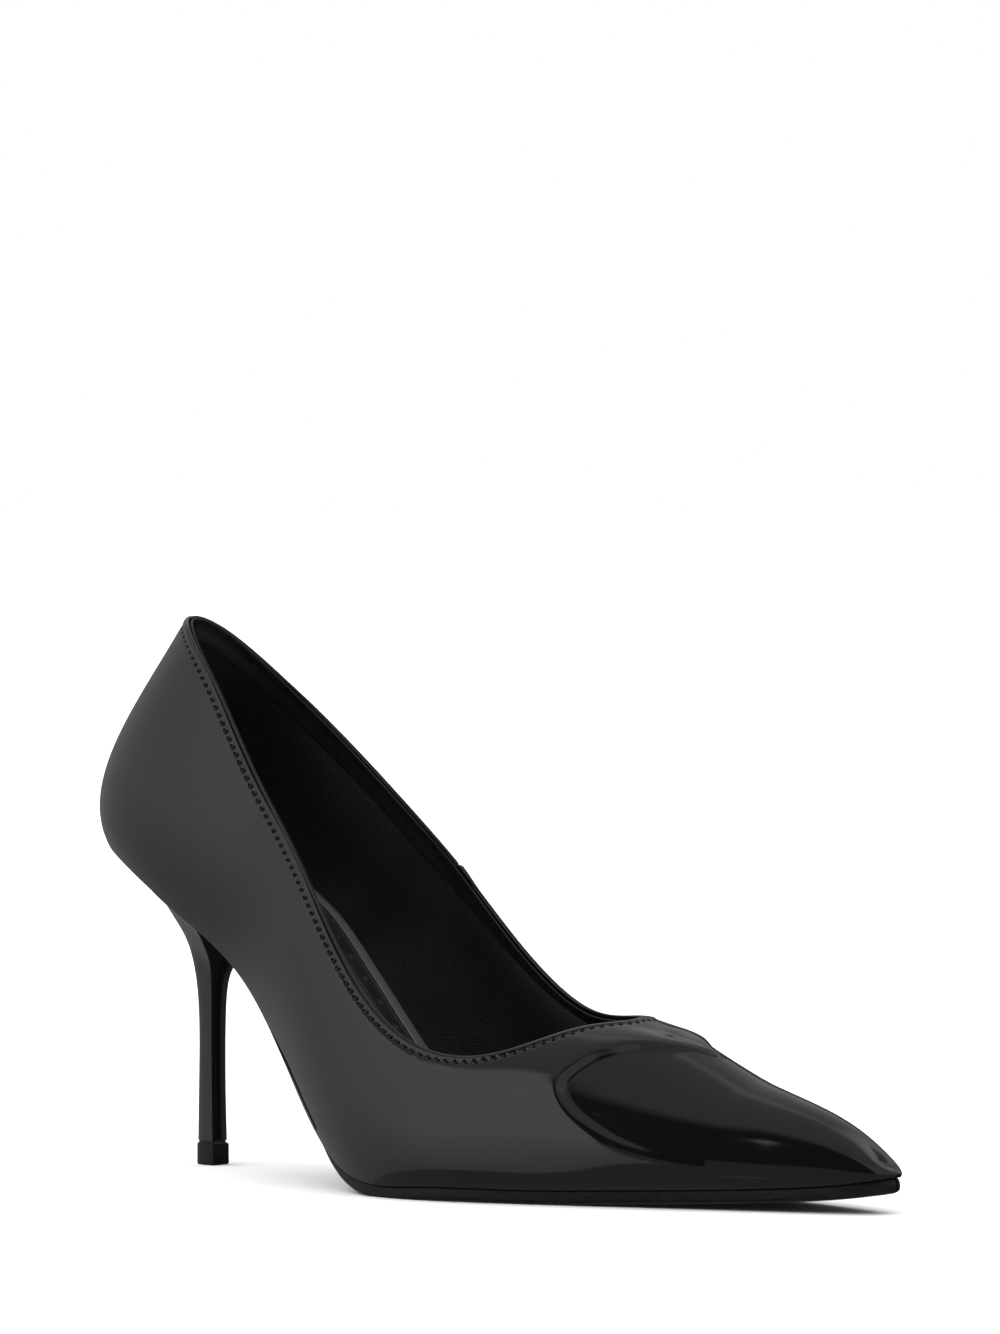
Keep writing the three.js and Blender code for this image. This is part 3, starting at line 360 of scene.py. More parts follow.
def lip_offset(side, t, h):
    """How far the moulded lip stands out of the wall."""
    t, h = pair(t, h)
    offset = np.zeros(t.shape)
    near = (t > 0.1) & (t < 0.52) & (h > 0.05)
    if not near.any():
        return offset
    points = wall_point(side, t[near], h[near])
    distance = np.full(len(points), 1e9)
    for line in lip_lines.values():
        steps = np.gradient(line, axis=0)
        for part, step in zip(np.array_split(line, LIP_PARTS), np.array_split(steps, LIP_PARTS)):
            reach = points[:, None, :] - part[None]
            nearest = (reach ** 2).sum(-1).argmin(1)
            reach = reach[np.arange(len(points)), nearest]
            step = step[nearest]
            along = np.abs((reach * unit(step)).sum(-1))
            along = np.minimum(along, np.linalg.norm(step, axis=-1) / 2)
            away = np.sqrt(np.maximum((reach ** 2).sum(-1) - along ** 2, 0))
            distance = np.minimum(distance, away)
    outside = t[near] > lip_station(h[near])
    ridge = smooth(h[near], 0.6, 0.95)
    signed = np.where(outside, distance, -distance) + LIP_SHIFT * (1 - ridge)
    spread = lerp(LIP_SPREAD[side], LIP_RIDGE_SPREAD, ridge)
    heelward = np.exp(-(np.maximum(signed, 0) / spread) ** lerp(LIP_CURVE, 2.0, ridge))
    crisp = LIP_STEP_SHARE * (1 - 0.25 * smooth(h[near], 0.6, 0.92))
    toeward = lerp(smooth(signed, -LIP_RUN_OUT, 0.0), smooth(signed, -LIP_FALL, 0.0), crisp)
    fade = smooth(h[near], 0.10, 0.30)
    saddle = SADDLE_DEPTH * np.exp(-((signed - SADDLE_PLACE) / SADDLE_WIDTH) ** 2)
    saddle = saddle * smooth(h[near], 0.68, 0.98)
    saddle = saddle * (1 - smooth(t[near], *SADDLE_END))
    offset[near] = LIP_RISE * np.where(signed > 0, heelward, toeward) * fade - saddle
    return offset


# ---------- the bottom profile

profile_stations = np.linspace(0, 1, 4001)
profile_x = last["featherX"](profile_stations)[::-1]
profile_level = last["featherZ"](profile_stations)[::-1]


def profile_z(x):
    return np.interp(x, profile_x, profile_level)


def station_at(x):
    return np.interp(x, profile_x, profile_stations[::-1])


def profile_point(x, y, above):
    """A point at a distance above (or below) the bottom profile."""
    reach = 1.5
    x0 = np.clip(x - reach, HEEL["backX"][0], SHOE_END - 2 * reach)
    slope = (profile_z(x0 + 2 * reach) - profile_z(x0)) / (2 * reach)
    size = np.hypot(slope, 1)
    return np.stack(np.broadcast_arrays(x - slope * above / size, y, profile_z(x) + above / size), -1)


def inset_edge(side, t, inset):
    x, y = feather_plan(side, t)
    out = feather_normal(side, t)
    ex = x - out[..., 0] * inset
    ey = y - out[..., 1] * inset
    centre = centre_y(ex)
    return ex, centre + side * np.maximum(0, (ey - centre) * side)


# ---------- mesh making

WELD = 2e-6
SHARP_ANGLE = 38


def put(name, data):
    """A new object in the scene."""
    item = bpy.data.objects.new(name, data)
    bpy.context.collection.objects.link(item)
    return item


class Skin:
    """Collects grids of points as one mesh, in the last's millimetres."""

    def __init__(self):
        self.points = []
        self.faces = []
        self.count = 0

    def grid(self, rows, flip=False):
        rows = np.asarray(rows, float)
        n, m = rows.shape[:2]
        index = self.count + np.arange(n * m).reshape(n, m)
        corners = [index[:-1, :-1], index[:-1, 1:], index[1:, 1:], index[1:, :-1]]
        quads = np.stack(corners, -1).reshape(-1, 4)
        self.faces.append(quads[:, ::-1] if flip else quads)
        self.points.append(rows.reshape(-1, 3))
        self.count += n * m

    def fan(self, ring, centre, flip=False):
        """Closes a ring with triangles to a centre."""
        ring = np.asarray(ring, float)
        middle = np.broadcast_to(np.asarray(centre, float), ring.shape)
        self.grid(np.stack([ring, middle], 1), flip)

    def tube(self, rings, flip=False):
        """A tube of rings, closed at both ends."""
        self.grid(rings, flip)
        self.fan(rings[0], rings[0].mean(0), flip)
        self.fan(rings[-1], rings[-1].mean(0), not flip)

    def build(self, name, material):
        """Welds the grids into one mesh object, in metres in the row frame."""
        points = np.concatenate(self.points) / 1000 + SHIFT
        faces = np.concatenate(self.faces)
        key = np.round(points / WELD).astype(np.int64)
        _, first, inverse = np.unique(key, axis=0, return_index=True, return_inverse=True)
        inverse = inverse.reshape(-1)
        faces = inverse[faces]
        clean = []
        for face in faces.tolist():
            kept = [v for i, v in enumerate(face) if v != face[i - 1]]
            if len(set(kept)) >= 3 and len(set(kept)) == len(kept):
                clean.append(kept)
        mesh = bpy.data.meshes.new(name)
        mesh.from_pydata(points[first].tolist(), [], clean)
        mesh.validate()
        mesh.shade_smooth()
        mesh.set_sharp_from_angle(angle=math.radians(SHARP_ANGLE))
        mesh.materials.append(material)
        return put(name, mesh)


def settle(piece, slot, *nodes):
    """Ties a piece to the frame: parents it to its body and hides the CAD nodes that it stands for. The
    slot is not used.
    """
    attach(piece, "root")
    if nodes:
        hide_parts(*nodes)
    return piece


# ---------- materials

def node_material(name, colour, roughness, coat=0.0, coat_roughness=0.03, specular=0.5, metallic=0.0):
    """A Principled material and its node tree, ready for grain."""
    material = bpy.data.materials.new(name)
    material.use_nodes = True
    shader = material.node_tree.nodes["Principled BSDF"]
    looks = {
        "Base Color": (*colour, 1),
        "Roughness": roughness,
        "Metallic": metallic,
        "Coat Weight": coat,
        "Coat Roughness": coat_roughness,
        "Specular IOR Level": specular,
    }
    for socket, value in looks.items():
        shader.inputs[socket].default_value = value
    return material, material.node_tree, shader


def object_noise(tree, scale, detail=3.0, cells=False, stretch=(1, 1, 1)):
    """A noise or cell texture fixed to the object, with its scale in cells per metre."""
    coordinates = tree.nodes.new("ShaderNodeTexCoord")
    mapping = tree.nodes.new("ShaderNodeMapping")
    mapping.inputs["Scale"].default_value = stretch
    tree.links.new(coordinates.outputs["Object"], mapping.inputs["Vector"])
    texture = tree.nodes.new("ShaderNodeTexVoronoi" if cells else "ShaderNodeTexNoise")
    texture.inputs["Scale"].default_value = scale
    if not cells:
        texture.inputs["Detail"].default_value = detail
    tree.links.new(mapping.outputs["Vector"], texture.inputs["Vector"])
    return texture.outputs["Distance" if cells else "Fac"]


def add_bumps(tree, shader, layers):
    """Chains bump layers of (height output, strength, distance in metres)."""
    normal = None
    for height, strength, distance in layers:
        bump = tree.nodes.new("ShaderNodeBump")
        bump.inputs["Strength"].default_value = strength
        bump.inputs["Distance"].default_value = distance
        tree.links.new(height, bump.inputs["Height"])
        if normal is not None:
            tree.links.new(normal, bump.inputs["Normal"])
        normal = bump.outputs["Normal"]
    tree.links.new(normal, shader.inputs["Normal"])


def vary_colour(tree, shader, height, dark, light):
    ramp = tree.nodes.new("ShaderNodeValToRGB")
    for stop, place, colour in zip(ramp.color_ramp.elements, (0.3, 0.7), (dark, light)):
        stop.position = place
        stop.color = (*colour, 1)
    tree.links.new(height, ramp.inputs["Fac"])
    tree.links.new(ramp.outputs["Color"], shader.inputs["Base Color"])


def vary_roughness(tree, shader, height, low, high):
    spread = tree.nodes.new("ShaderNodeMapRange")
    spread.inputs["To Min"].default_value = low
    spread.inputs["To Max"].default_value = high
    tree.links.new(height, spread.inputs["Value"])
    tree.links.new(spread.outputs["Result"], shader.inputs["Roughness"])


def patent_leather():
    """Black lacquer: mirror-smooth, with the faint swell of the leather under it."""
    material, tree, shader = node_material("patent_leather", (0.0022, 0.0021, 0.0022), 0.06)
    swell = object_noise(tree, 42.0, 1.5)
    peel = object_noise(tree, 620.0, 2.0)
    patches = object_noise(tree, 25.0, 2.0)
    vary_colour(tree, shader, patches, (0.0018, 0.0018, 0.0018), (0.0027, 0.0026, 0.0027))
    vary_roughness(tree, shader, object_noise(tree, 90.0, 3.0), 0.045, 0.08)
    add_bumps(tree, shader, [(swell, 0.4, 0.00018), (peel, 0.2, 0.00001)])
    return material


def one_grain(name, dark, light, roughness, scale, bump, specular=0.5, metallic=0.0, stretch=(1, 1, 1)):
    """A material whose colour, roughness (low, high) and surface follow one noise."""
    low, high = roughness
    material, tree, shader = node_material(name, dark, low, specular=specular, metallic=metallic)
    grain = object_noise(tree, scale, 4.0, stretch=stretch)
    vary_colour(tree, shader, grain, dark, light)
    vary_roughness(tree, shader, grain, low, high)
    add_bumps(tree, shader, [(grain, *bump)])
    return material


def edge_leather():
    dark, light = (0.004, 0.004, 0.004), (0.008, 0.008, 0.0085)
    return one_grain("edge_leather", dark, light, (0.36, 0.5), 900.0, (0.35, 0.00006), 0.3)


def strip_patent():
    """The glossy strip along the edge of the sock."""
    material, tree, shader = node_material("strip_patent", (0.085, 0.083, 0.087), 0.25, 0.8, 0.1)
    grain = object_noise(tree, 500.0, 2.0)
    vary_roughness(tree, shader, grain, 0.13, 0.2)
    add_bumps(tree, shader, [(grain, 0.15, 0.00002)])
    return material


def grained_leather(name, dark, light, roughness, depth):
    """Soft leather with a fine pebbled grain, a little stretched."""
    material, tree, shader = node_material(name, dark, roughness, specular=0.35)
    shader.inputs["Sheen Weight"].default_value = 0.12
    shader.inputs["Sheen Roughness"].default_value = 0.4
    pebble = object_noise(tree, 1150.0, cells=True, stretch=(1, 0.7, 1.35))
    fine = object_noise(tree, 2600.0, 3.0)
    patches = object_noise(tree, 60.0, 3.0)
    vary_colour(tree, shader, patches, dark, light)
    vary_roughness(tree, shader, patches, roughness - 0.06, roughness + 0.08)
    add_bumps(tree, shader, [(pebble, 0.7, depth), (fine, 0.25, depth * 0.3)])
    return material


def thread_material():
    material, tree, shader = node_material("sewing_thread", (0.003, 0.003, 0.003), 0.6, specular=0.08)
    twist = object_noise(tree, 3800.0, 2.0, stretch=(1, 1, 2.5))
    vary_colour(tree, shader, twist, (0.002, 0.002, 0.002), (0.007, 0.007, 0.0075))
    add_bumps(tree, shader, [(twist, 0.5, 0.00005)])
    return material


def painted_sole():
    """Black painted leather: glossy paint with fine fibre showing through."""
    dark, light = (0.003, 0.003, 0.003), (0.008, 0.008, 0.008)
    look = (dark, light, (0.22, 0.42), 700.0, (0.25, 0.00005), 0.14)
    return one_grain("painted_sole", *look, stretch=(0.4, 1, 2))


def plain_grain(name, dark, light, roughness, scale, depth, metallic=0.0, shine=0.5):
    """A matt or metal material, a little smoother and rougher in its grain."""
    span = (roughness * 0.85, min(1.0, roughness * 1.15))
    return one_grain(name, dark, light, span, scale, (0.4, depth), shine, metallic)


PATENT = patent_leather()
EDGE = edge_leather()
STRIP = strip_patent()
LINING = grained_leather(
    "lining_leather", (0.005, 0.0049, 0.0049), (0.009, 0.0087, 0.0087), 0.45, 0.00016,
)
SOCK = grained_leather(
    "sock_leather", (0.006, 0.0058, 0.0058), (0.011, 0.0105, 0.0105), 0.42, 0.00010,
)
THREAD = thread_material()
SOLE = painted_sole()
TIP = plain_grain(
    "tip_rubber", (0.004, 0.004, 0.004), (0.009, 0.009, 0.009), 0.34, 900.0, 0.00003, shine=0.16,
)

# Materials of the inner parts for each slot: name, dark and light colour, roughness, grains
# per metre, depth of the grain in metres and metalness.
HIDDEN_LOOKS = {
    "stiffener_board": ("stiffener_cloth", (0.4, 0.34, 0.26), (0.55, 0.48, 0.38), 0.85, 900.0, 0.0001),
    "fibreboard": ("pressed_fibreboard", (0.13, 0.08, 0.045), (0.2, 0.13, 0.075), 0.9, 700.0, 0.0001),
    "cork": ("granulated_cork", (0.24, 0.12, 0.045), (0.45, 0.26, 0.11), 0.95, 500.0, 0.0003),
    "foam": ("latex_foam", (0.6, 0.56, 0.45), (0.75, 0.71, 0.6), 0.95, 1500.0, 0.0001),
    "spring_steel": ("spring_steel", (0.2, 0.21, 0.24), (0.3, 0.31, 0.34), 0.35, 300.0, 0.00002, 1.0),
    "fastener_steel": ("fastener_steel", (0.3, 0.3, 0.32), (0.4, 0.4, 0.43), 0.3, 400.0, 0.00002, 1.0),
    "heel_plastic": ("heel_plastic", (0.018, 0.018, 0.02), (0.026, 0.026, 0.028), 0.5, 600.0, 0.00004),
}
HIDDEN = {slot: plain_grain(*look) for slot, look in HIDDEN_LOOKS.items()}


# ---------- the upper

CLOSED_COLUMNS = 150
OPEN_COLUMNS = 620
WALL_ROWS = 66
BAND_ROWS = 22
LINING_CLOSED_COLUMNS = 60
LINING_OPEN_COLUMNS = 149


def open_places(count):
    """Places along the topline, a little closer at the throat and the back."""
    k = np.linspace(0, 1, count + 1)
    return lerp(k, (1 - np.cos(math.pi * k)) / 2, 0.35)


def rows_below(side, places, drops):
    """Places on the wall below the topline, kept in order where they crowd at the throat."""
    q, drop = np.meshgrid(places, drops, indexing="ij")
    t, h = below_topline(side, q, drop)
    if places[0] == 0:
        other, _ = below_topline(-side, q[:2], drop[:2])
        t[0] = np.minimum(np.minimum(t[0], t[1]), other.min(0))
    return t, h


def closed_stations(side, count, places, start=0.0):
    """Stations of the closed vamp, up to the lowest row of the topline band."""
    throat = rows_below(side, places, [BAND_DEPTH])[0][0, 0]
    return lerp(start, throat, np.linspace(0, 1, count + 1)[:-1] ** 1.1)


def arc_length(points):
    return np.concatenate([[0], np.cumsum(np.linalg.norm(np.diff(points, axis=0), axis=1))])


def layer(side, t, h, depth, lip=False):
    """Points at a depth under the wall's outer face, with the moulded lip or without."""
    t, h = np.broadcast_arrays(t, h)
    out = -np.asarray(depth, float) * np.ones(t.shape)
    if lip:
        out = out + lip_offset(side, t, h)
    return wall_point(side, t, h) + wall_normal(side, t, h) * out[..., None]


def margin(side, t, above, shares):
    """Turned-in margin under the insole board, from its free edge towards the feather."""
    width = np.where(t < 0.5, np.minimum(MARGIN_WIDTH, 0.75 * half_width(side, t)), MARGIN_WIDTH)
    x, y = feather_plan(side, t)
    out = feather_normal(side, t)
    in_x, in_y = out[:, 0] * width, out[:, 1] * width
    rows = [profile_point(x - in_x * share, y - in_y * share, above) for share in shares]
    return np.stack(rows, 1)


def band_surface(side, places, drops, depth):
    """The topline band with its stitch channel, needle holes and the medial seam."""
    drop = np.asarray(drops)[None, :]
    t, h = rows_below(side, places, drops)
    line = wall_point(side, *below_topline(side, places, STITCH_DROP))
    along = arc_length(line)
    step = (along / STITCH_PITCH) % 1 - 0.5
    reach = np.hypot(step[:, None] * STITCH_PITCH, drop - STITCH_DROP)
    channel = 0.10 * np.exp(-((drop - STITCH_DROP) / 0.5) ** 2)
    holes = 0.65 * np.exp(-(reach / 0.4) ** 2)
    swell = 0.16 * np.exp(-((drop - 0.7) / 0.5) ** 2)
    shape = channel + holes - swell if depth <= 0 else 0
    return layer(side, t, h, depth + shape + seam_depth(side, places)[:, None], True)


def seam_depth(side, places):
    """The medial seam: a fine groove with the forward piece lapped over it."""
    if side == LATERAL:
        return np.zeros(len(places))
    line = arc_length(wall_point(side, *below_topline(side, places, 0)))
    gap = line - np.interp(SEAM_PLACE, places, line)
    groove = 0.35 * np.exp(-(gap / 0.45) ** 2)
    lap = -0.45 * smooth(gap, -9.0, -0.4) * (gap < 0)
    return groove + lap


def edge_round(side, places, depth, thick, rise, steps):
    """Rounded top edge of a layer, from its outer face over to its inner face."""
    t0, h0 = below_topline(side, places, 0)
    t1, h1 = below_topline(side, places, 0.5)
    top = wall_point(side, t0, h0)
    up = unit(top - wall_point(side, t1, h1))
    normal = wall_normal(side, t0, h0)
    lip = 0 * t0
    if depth <= 0:
        lip = lip_offset(side, t0, h0) - seam_depth(side, places)
    rows = []
    for angle in np.linspace(0, math.pi, steps + 1)[1:-1]:
        inward = depth + thick / 2 * (1 - math.cos(angle)) - lip * (1 + math.cos(angle)) / 2
        rows.append(top - normal * inward[:, None] + up * rise * math.sin(angle))
    return np.stack(rows, 1)


def upper_skin():
    """The upper: wall, turned-in margin, topline band and rounded edge, inside and out."""
    skin = Skin()
    places = open_places(OPEN_COLUMNS)
    shares = np.linspace(0, 1, WALL_ROWS + 1) ** 1.2
    inner_shares = np.linspace(0, 1, 9)
    drops = np.linspace(BAND_DEPTH, 0, BAND_ROWS + 1)
    for side in SIDES:
        flip = side == LATERAL
        front = closed_stations(side, CLOSED_COLUMNS, places)
        t_open, top_open = rows_below(side, places, [BAND_DEPTH])
        t = np.concatenate([front, t_open[:, 0]])
        top = np.concatenate([np.ones(len(front)), top_open[:, 0]])
        seam = np.concatenate([np.zeros(len(front)), seam_depth(side, places)])[:, None]
        outer = layer(side, t[:, None], top[:, None] * shares, seam * np.minimum(1, shares * 12), True)
        inner = layer(side, t[:, None], top[:, None] * inner_shares, UPPER_THICK)
        under = margin(side, t, 0.0, (1.0, 0.66, 0.33))
        over = margin(side, t, UPPER_THICK, (0.33, 0.66, 1.0))
        skin.grid(np.concatenate([under, outer], 1), not flip)
        skin.grid(np.concatenate([inner[:, ::-1], over, under[:, :1]], 1), not flip)
        face = band_surface(side, places, drops, 0.0)
        face[:, 0] = outer[len(front):, -1]
        back = band_surface(side, places, drops[::-7], UPPER_THICK)
        back[:, -1] = inner[len(front):, -1]
        edge = edge_round(side, places, 0.0, UPPER_THICK, 0.42, 6)
        skin.grid(np.concatenate([face, edge, back], 1), not flip)
    return settle(skin.build("patent_upper", PATENT), "patent_leather", "upper")


def lining_depth(t):
    """The linings lie deeper over the toe puff and the counter."""
    toe = 1 - smooth(t, 0.27, 0.33)
    heel = smooth(t, 0.68, 0.76)
    return LINING_DEPTH + STIFFENER_ROOM * np.maximum(toe, heel)


def topline_binding():
    """Narrow leather binding that lines the topline and just shows over its edge."""
    skin = Skin()
    places = open_places(320)
    depth = UPPER_THICK + GAP
    drops = np.linspace(BINDING_WIDTH, 0, 9)
    for side in SIDES:
        t, h = rows_below(side, places, drops)
        fill = (lining_depth(t) + LINING_THICK - depth - BINDING_THICK) * smooth(drops, 0.8, 5.2)
        outer = layer(side, t, h, depth)
        inner = layer(side, t, h, depth + BINDING_THICK + fill)[:, ::-1]
        edge = edge_round(side, places, depth, BINDING_THICK, 0.55, 6)
        ring = np.concatenate([outer, edge, inner, outer[:, :1]], 1)
        skin.grid(ring, side == MEDIAL)
    return settle(skin.build("binding_edge", EDGE), "edge_leather", "topline_binding")


def stitch_row(skin, side, depth, drop, radius):
    """The thread where it shows, dipping through the needle holes."""
    fine = np.linspace(0, 1, 2400)
    t, h = below_topline(side, fine, drop)
    line = layer(side, t, h, depth, depth < UPPER_THICK)
    along = arc_length(line)
    normal = wall_normal(side, t, h)
    count = int(along[-1] / STITCH_PITCH)
    angles = np.linspace(0, 2 * math.pi, 7)
    shares = np.linspace(-1, 1, 7)
    for i in range(count):
        middle = (i + 0.5) * STITCH_PITCH
        rows = []
        for share in shares:
            at = middle + share * STITCH_PITCH * 0.19
            k = min(int(np.searchsorted(along, at)), len(along) - 2)
            out = normal[k]
            forward = unit(line[k + 1] - line[k - 1])
            across = np.cross(out, forward)
            size = radius * math.sqrt(max(0.0, 1 - share ** 4)) + 0.004
            arch = out * (0.16 * (1 - share ** 2) - 0.08)
            ring = [line[k] + arch + size * (math.cos(a) * across + math.sin(a) * out) for a in angles]
            rows.append(ring)
        skin.grid(rows, False)
        skin.fan(rows[0], np.mean(rows[0][:-1], 0), True)
        skin.fan(rows[-1], np.mean(rows[-1][:-1], 0), False)


def stitches():
    """Thread on the outside of the upper and on the inside of the binding."""
    skin = Skin()
    for side in SIDES:
        stitch_row(skin, side, 0.22, STITCH_DROP, 0.18)
        stitch_row(skin, side, UPPER_THICK + GAP + BINDING_THICK + 0.06, STITCH_DROP + 0.2, 0.15)
    return settle(skin.build("topline_stitches", THREAD), "thread", "topline_thread")


def lining(name, node, start, end, closed):
    """A lining sheet between two places of the topline, with closed columns before it."""
    skin = Skin()
    shares = np.concatenate([[0.03], np.linspace(0, 1, 25)[1:]])
    for side in SIDES:
        places = start + (end - start) * np.linspace(0, 1, LINING_OPEN_COLUMNS + 1)
        t, top = (row[:, 0] for row in rows_below(side, places, [BAND_DEPTH]))
        if closed:
            front = closed_stations(side, LINING_CLOSED_COLUMNS, places, 0.09)
            t = np.concatenate([front, t])
            top = np.concatenate([np.ones(len(front)), top])
        h = top[:, None] * shares
        depth = lining_depth(t)[:, None]
        outer = layer(side, t[:, None], h, depth)
        inner = layer(side, t[:, None], h, depth + LINING_THICK)
        flip = side == MEDIAL
        count = LINING_CLOSED_COLUMNS if closed else 0
        skin.grid(outer, flip)
        skin.grid(inner, not flip)
        skin.grid(np.stack([inner[:, 0], outer[:, 0]], 1), flip)
        skin.grid(np.stack([outer[count:, -1], inner[count:, -1]], 1), flip)
        ends = [(0, True)] if end >= 1 else [(0, True), (-1, False)]
        for index, reverse in ends:
            skin.grid(np.stack([outer[index], inner[index]], 0), flip != reverse)
    return settle(skin.build(name, LINING), "lining_leather", node)


# ---------- inside and under

def cushion(x, across):
    """How far the pads lift the sock."""
    dome = 1 - 0.55 * across * across

    def hump(low, high, edge):
        return smooth(x, low, low + edge) * (1 - smooth(x, high - edge, high))

    return (2.2 * hump(10, 66, 16) + 1.2 * hump(108, 186, 18)) * dome


def sock_lining():
    """Padded sock with a sewn band of perforations along its edge."""
    skin = Skin()
    t = np.linspace(SOCK_START, 1, 720)
    edge_insets = np.concatenate([np.linspace(0, 11, 34), np.linspace(11.8, 17, 5)])
    base = BOARD_HIGH + 2 * GAP
    rows = []
    under = []
    for side in SIDES:
        rim_x, rim_y = inset_edge(side, t, SOCK_INSET)
        half = np.abs(rim_y - centre_y(rim_x))
        along = arc_length(np.stack([rim_x, rim_y], -1))
        step = ((along / DOT_PITCH) % 1 - 0.5) * DOT_PITCH
        stitch = ((along / SOCK_STITCH_PITCH) % 1 - 0.5) * SOCK_STITCH_PITCH
        dent = 0.6 + 0.8 * np.exp(-(stitch / 0.4) ** 2)
        columns = []
        for inset in edge_insets:
            share = np.minimum(inset, half)
            ex, ey = inset_edge(side, t, SOCK_INSET + inset)
            level = base + SOCK_THICK + cushion(ex, 1 - share / np.maximum(half, 1e-6))
            dots = 0.75 * np.exp(-(np.hypot(step, inset - DOT_LINE) / 0.5) ** 2)
            seams = sum(0.35 * np.exp(-((inset - at) / 0.34) ** 2) * dent for at in SOCK_SEAMS)
            puff = 0.22 * np.exp(-((inset - DOT_LINE) / 2.2) ** 2)
            roll = 0.4 * np.exp(-(inset / 0.5) ** 2)
            columns.append(profile_point(ex, ey, level - dots - seams + puff - roll))
        rows.append(np.stack(columns, 1))
        under.append(profile_point(rim_x, rim_y, base + cushion(rim_x, 1.0)))
    left, right = rows
    middle = [lerp(left[:, -1], right[:, -1], k) for k in np.linspace(0, 1, 7)[1:-1]]
    top = np.concatenate([left, np.stack(middle, 1), right[:, ::-1]], 1)
    skin.tube(np.concatenate([top, np.stack(under[::-1], 1), top[:, :1]], 1))
    piece = settle(skin.build("sock", SOCK), "sock_leather", "sock_lining")
    return piece


def sock_strip():
    """Glossy strip laid along both edges of the sock from the waist forwards."""
    skin = Skin()
    t = np.linspace(STRIP_START, 1, 260)
    base = BOARD_HIGH + 2 * GAP + SOCK_THICK + 0.12
    for side in SIDES:
        section = []
        for k in np.linspace(0, 1, 9):
            ex, ey = inset_edge(side, t, SOCK_INSET + STRIP_INSET + STRIP_WIDTH * k)
            crown = 0.3 * math.sin(math.pi * k) ** 0.5
            section.append(profile_point(ex, ey, base + cushion(ex, 0.9) + crown))
        for k in (1.0, 0.0):
            ex, ey = inset_edge(side, t, SOCK_INSET + STRIP_INSET + STRIP_WIDTH * k)
            section.append(profile_point(ex, ey, base - 0.06 + cushion(ex, 0.9)))
        section.append(section[0])
        ring = np.stack(section, 1)
        skin.grid(ring, side == MEDIAL)
        skin.fan(ring[0], ring[0].mean(0), side == MEDIAL)
    return settle(skin.build("sock_strip", STRIP), "edge_leather", "sock_edge_strip")


def pad(name, node, low, high, edge_gap):
    """Thin foam pad that swells the sock: flat on the board, crowned above, soft at its rim."""
    skin = Skin()
    shares = np.linspace(-1, 1, 33)
    rows = []
    for x in np.linspace(low, high, 60):
        t = station_at(x)
        round_end = math.sqrt(max(0.02, 1 - (2 * (x - low) / (high - low) - 1) ** 4))
        left = centre_y(x) - (half_width(LATERAL, t) - edge_gap) * round_end
        right = centre_y(x) + (half_width(MEDIAL, t) - edge_gap) * round_end
        y = lerp(left, right, (shares + 1) / 2)
        rim = np.sqrt(np.maximum(0, 1 - np.abs(shares) ** 6)) * round_end
        span = np.full(len(y), float(x))
        above = profile_point(span, y, BOARD_HIGH + GAP + 0.05 + cushion(span, shares) * rim * 0.9)
        below = profile_point(span, y, BOARD_HIGH + GAP)
        rows.append(np.concatenate([above, below[::-1], above[:1]]))
    skin.tube(rows)
    piece = settle(skin.build(name, HIDDEN["foam"]), "foam", node)
    return piece


def outsole():
    """Thin in the waist, full in the forepart, its edge rounded under and creased above."""
    skin = Skin()
    heel_end = float(station_at(BREAST_X + 0.6))
    t = np.concatenate([np.linspace(0.004, 0.12, 90), np.linspace(0.12, heel_end, 230)[1:]])
    full = smooth(last["featherX"](t), 72, 118)
    thick = lerp(WAIST_SOLE_THICK, SOLE_THICK, full)
    inset = lerp(4.5, 0.45, full)
    edge_shape = (
        (0.5, 0.0), (0.12, 0.10), (0.0, 0.22), (0.0, 0.42), (0.05, 0.60),
        (0.25, 0.78), (0.7, 0.92), (1.5, 0.99), (2.6, 1.0),
    )
    sides = []
    for side in SIDES:
        rows = []
        for extra, share in edge_shape:
            ex, ey = inset_edge(side, t, inset + extra)
            point = profile_point(ex, ey, 0.05 - (GAP + 0.05) * min(1, share * 4) - thick * share)
            point[:, 2] = np.maximum(point[:, 2], 0)
            rows.append(point)
        sides.append(np.stack(rows, 1))
    left, right = sides
    under = [lerp(left[:, -1], right[:, -1], k) for k in np.linspace(0, 1, 9)[1:-1]]
    over = [lerp(right[:, 0], left[:, 0], k) for k in np.linspace(0, 1, 5)[1:]]
    skin.tube(np.concatenate([left, np.stack(under, 1), right[:, ::-1], np.stack(over, 1)], 1), True)
    return settle(skin.build("sole", SOLE), "sole_leather", "outsole")


# ---------- heel

def heel_point(q, share, inset):
    """A point on the heel, q down from the seat, round from one breast corner to the other."""
    t = lerp(1, station_at(BREAST_X), np.abs(share) ** 1.3)
    left, right = (np.array(inset_edge(side, t, GAP)) for side in SIDES)
    seat_x, seat_y = np.where(share < 0, left, right)
    seat_depth = np.maximum(0, (BREAST_X - seat_x) / (BREAST_X - HEEL["backX"][0]))
    angle = share * math.pi / 2
    stem_depth = np.maximum(np.cos(angle), 0) ** 0.75
    blend = float(smooth(q, 0, 0.3))
    depth = lerp(seat_depth, stem_depth, blend)
    across = lerp(seat_y / HEEL["half"][0], np.sin(angle), blend)
    x = lerp(heel_curve["frontX"](q) - inset, heel_curve["backX"](q) + inset, depth)
    y = (heel_curve["half"](q) - inset) * across
    level = lerp(heel_curve["frontZ"](q), heel_curve["backZ"](q), depth)
    seat = profile_point(x, y, -GAP)[:, 2]
    return np.stack([x, y, lerp(seat, level, float(smooth(q, 0, 0.1)))], -1)


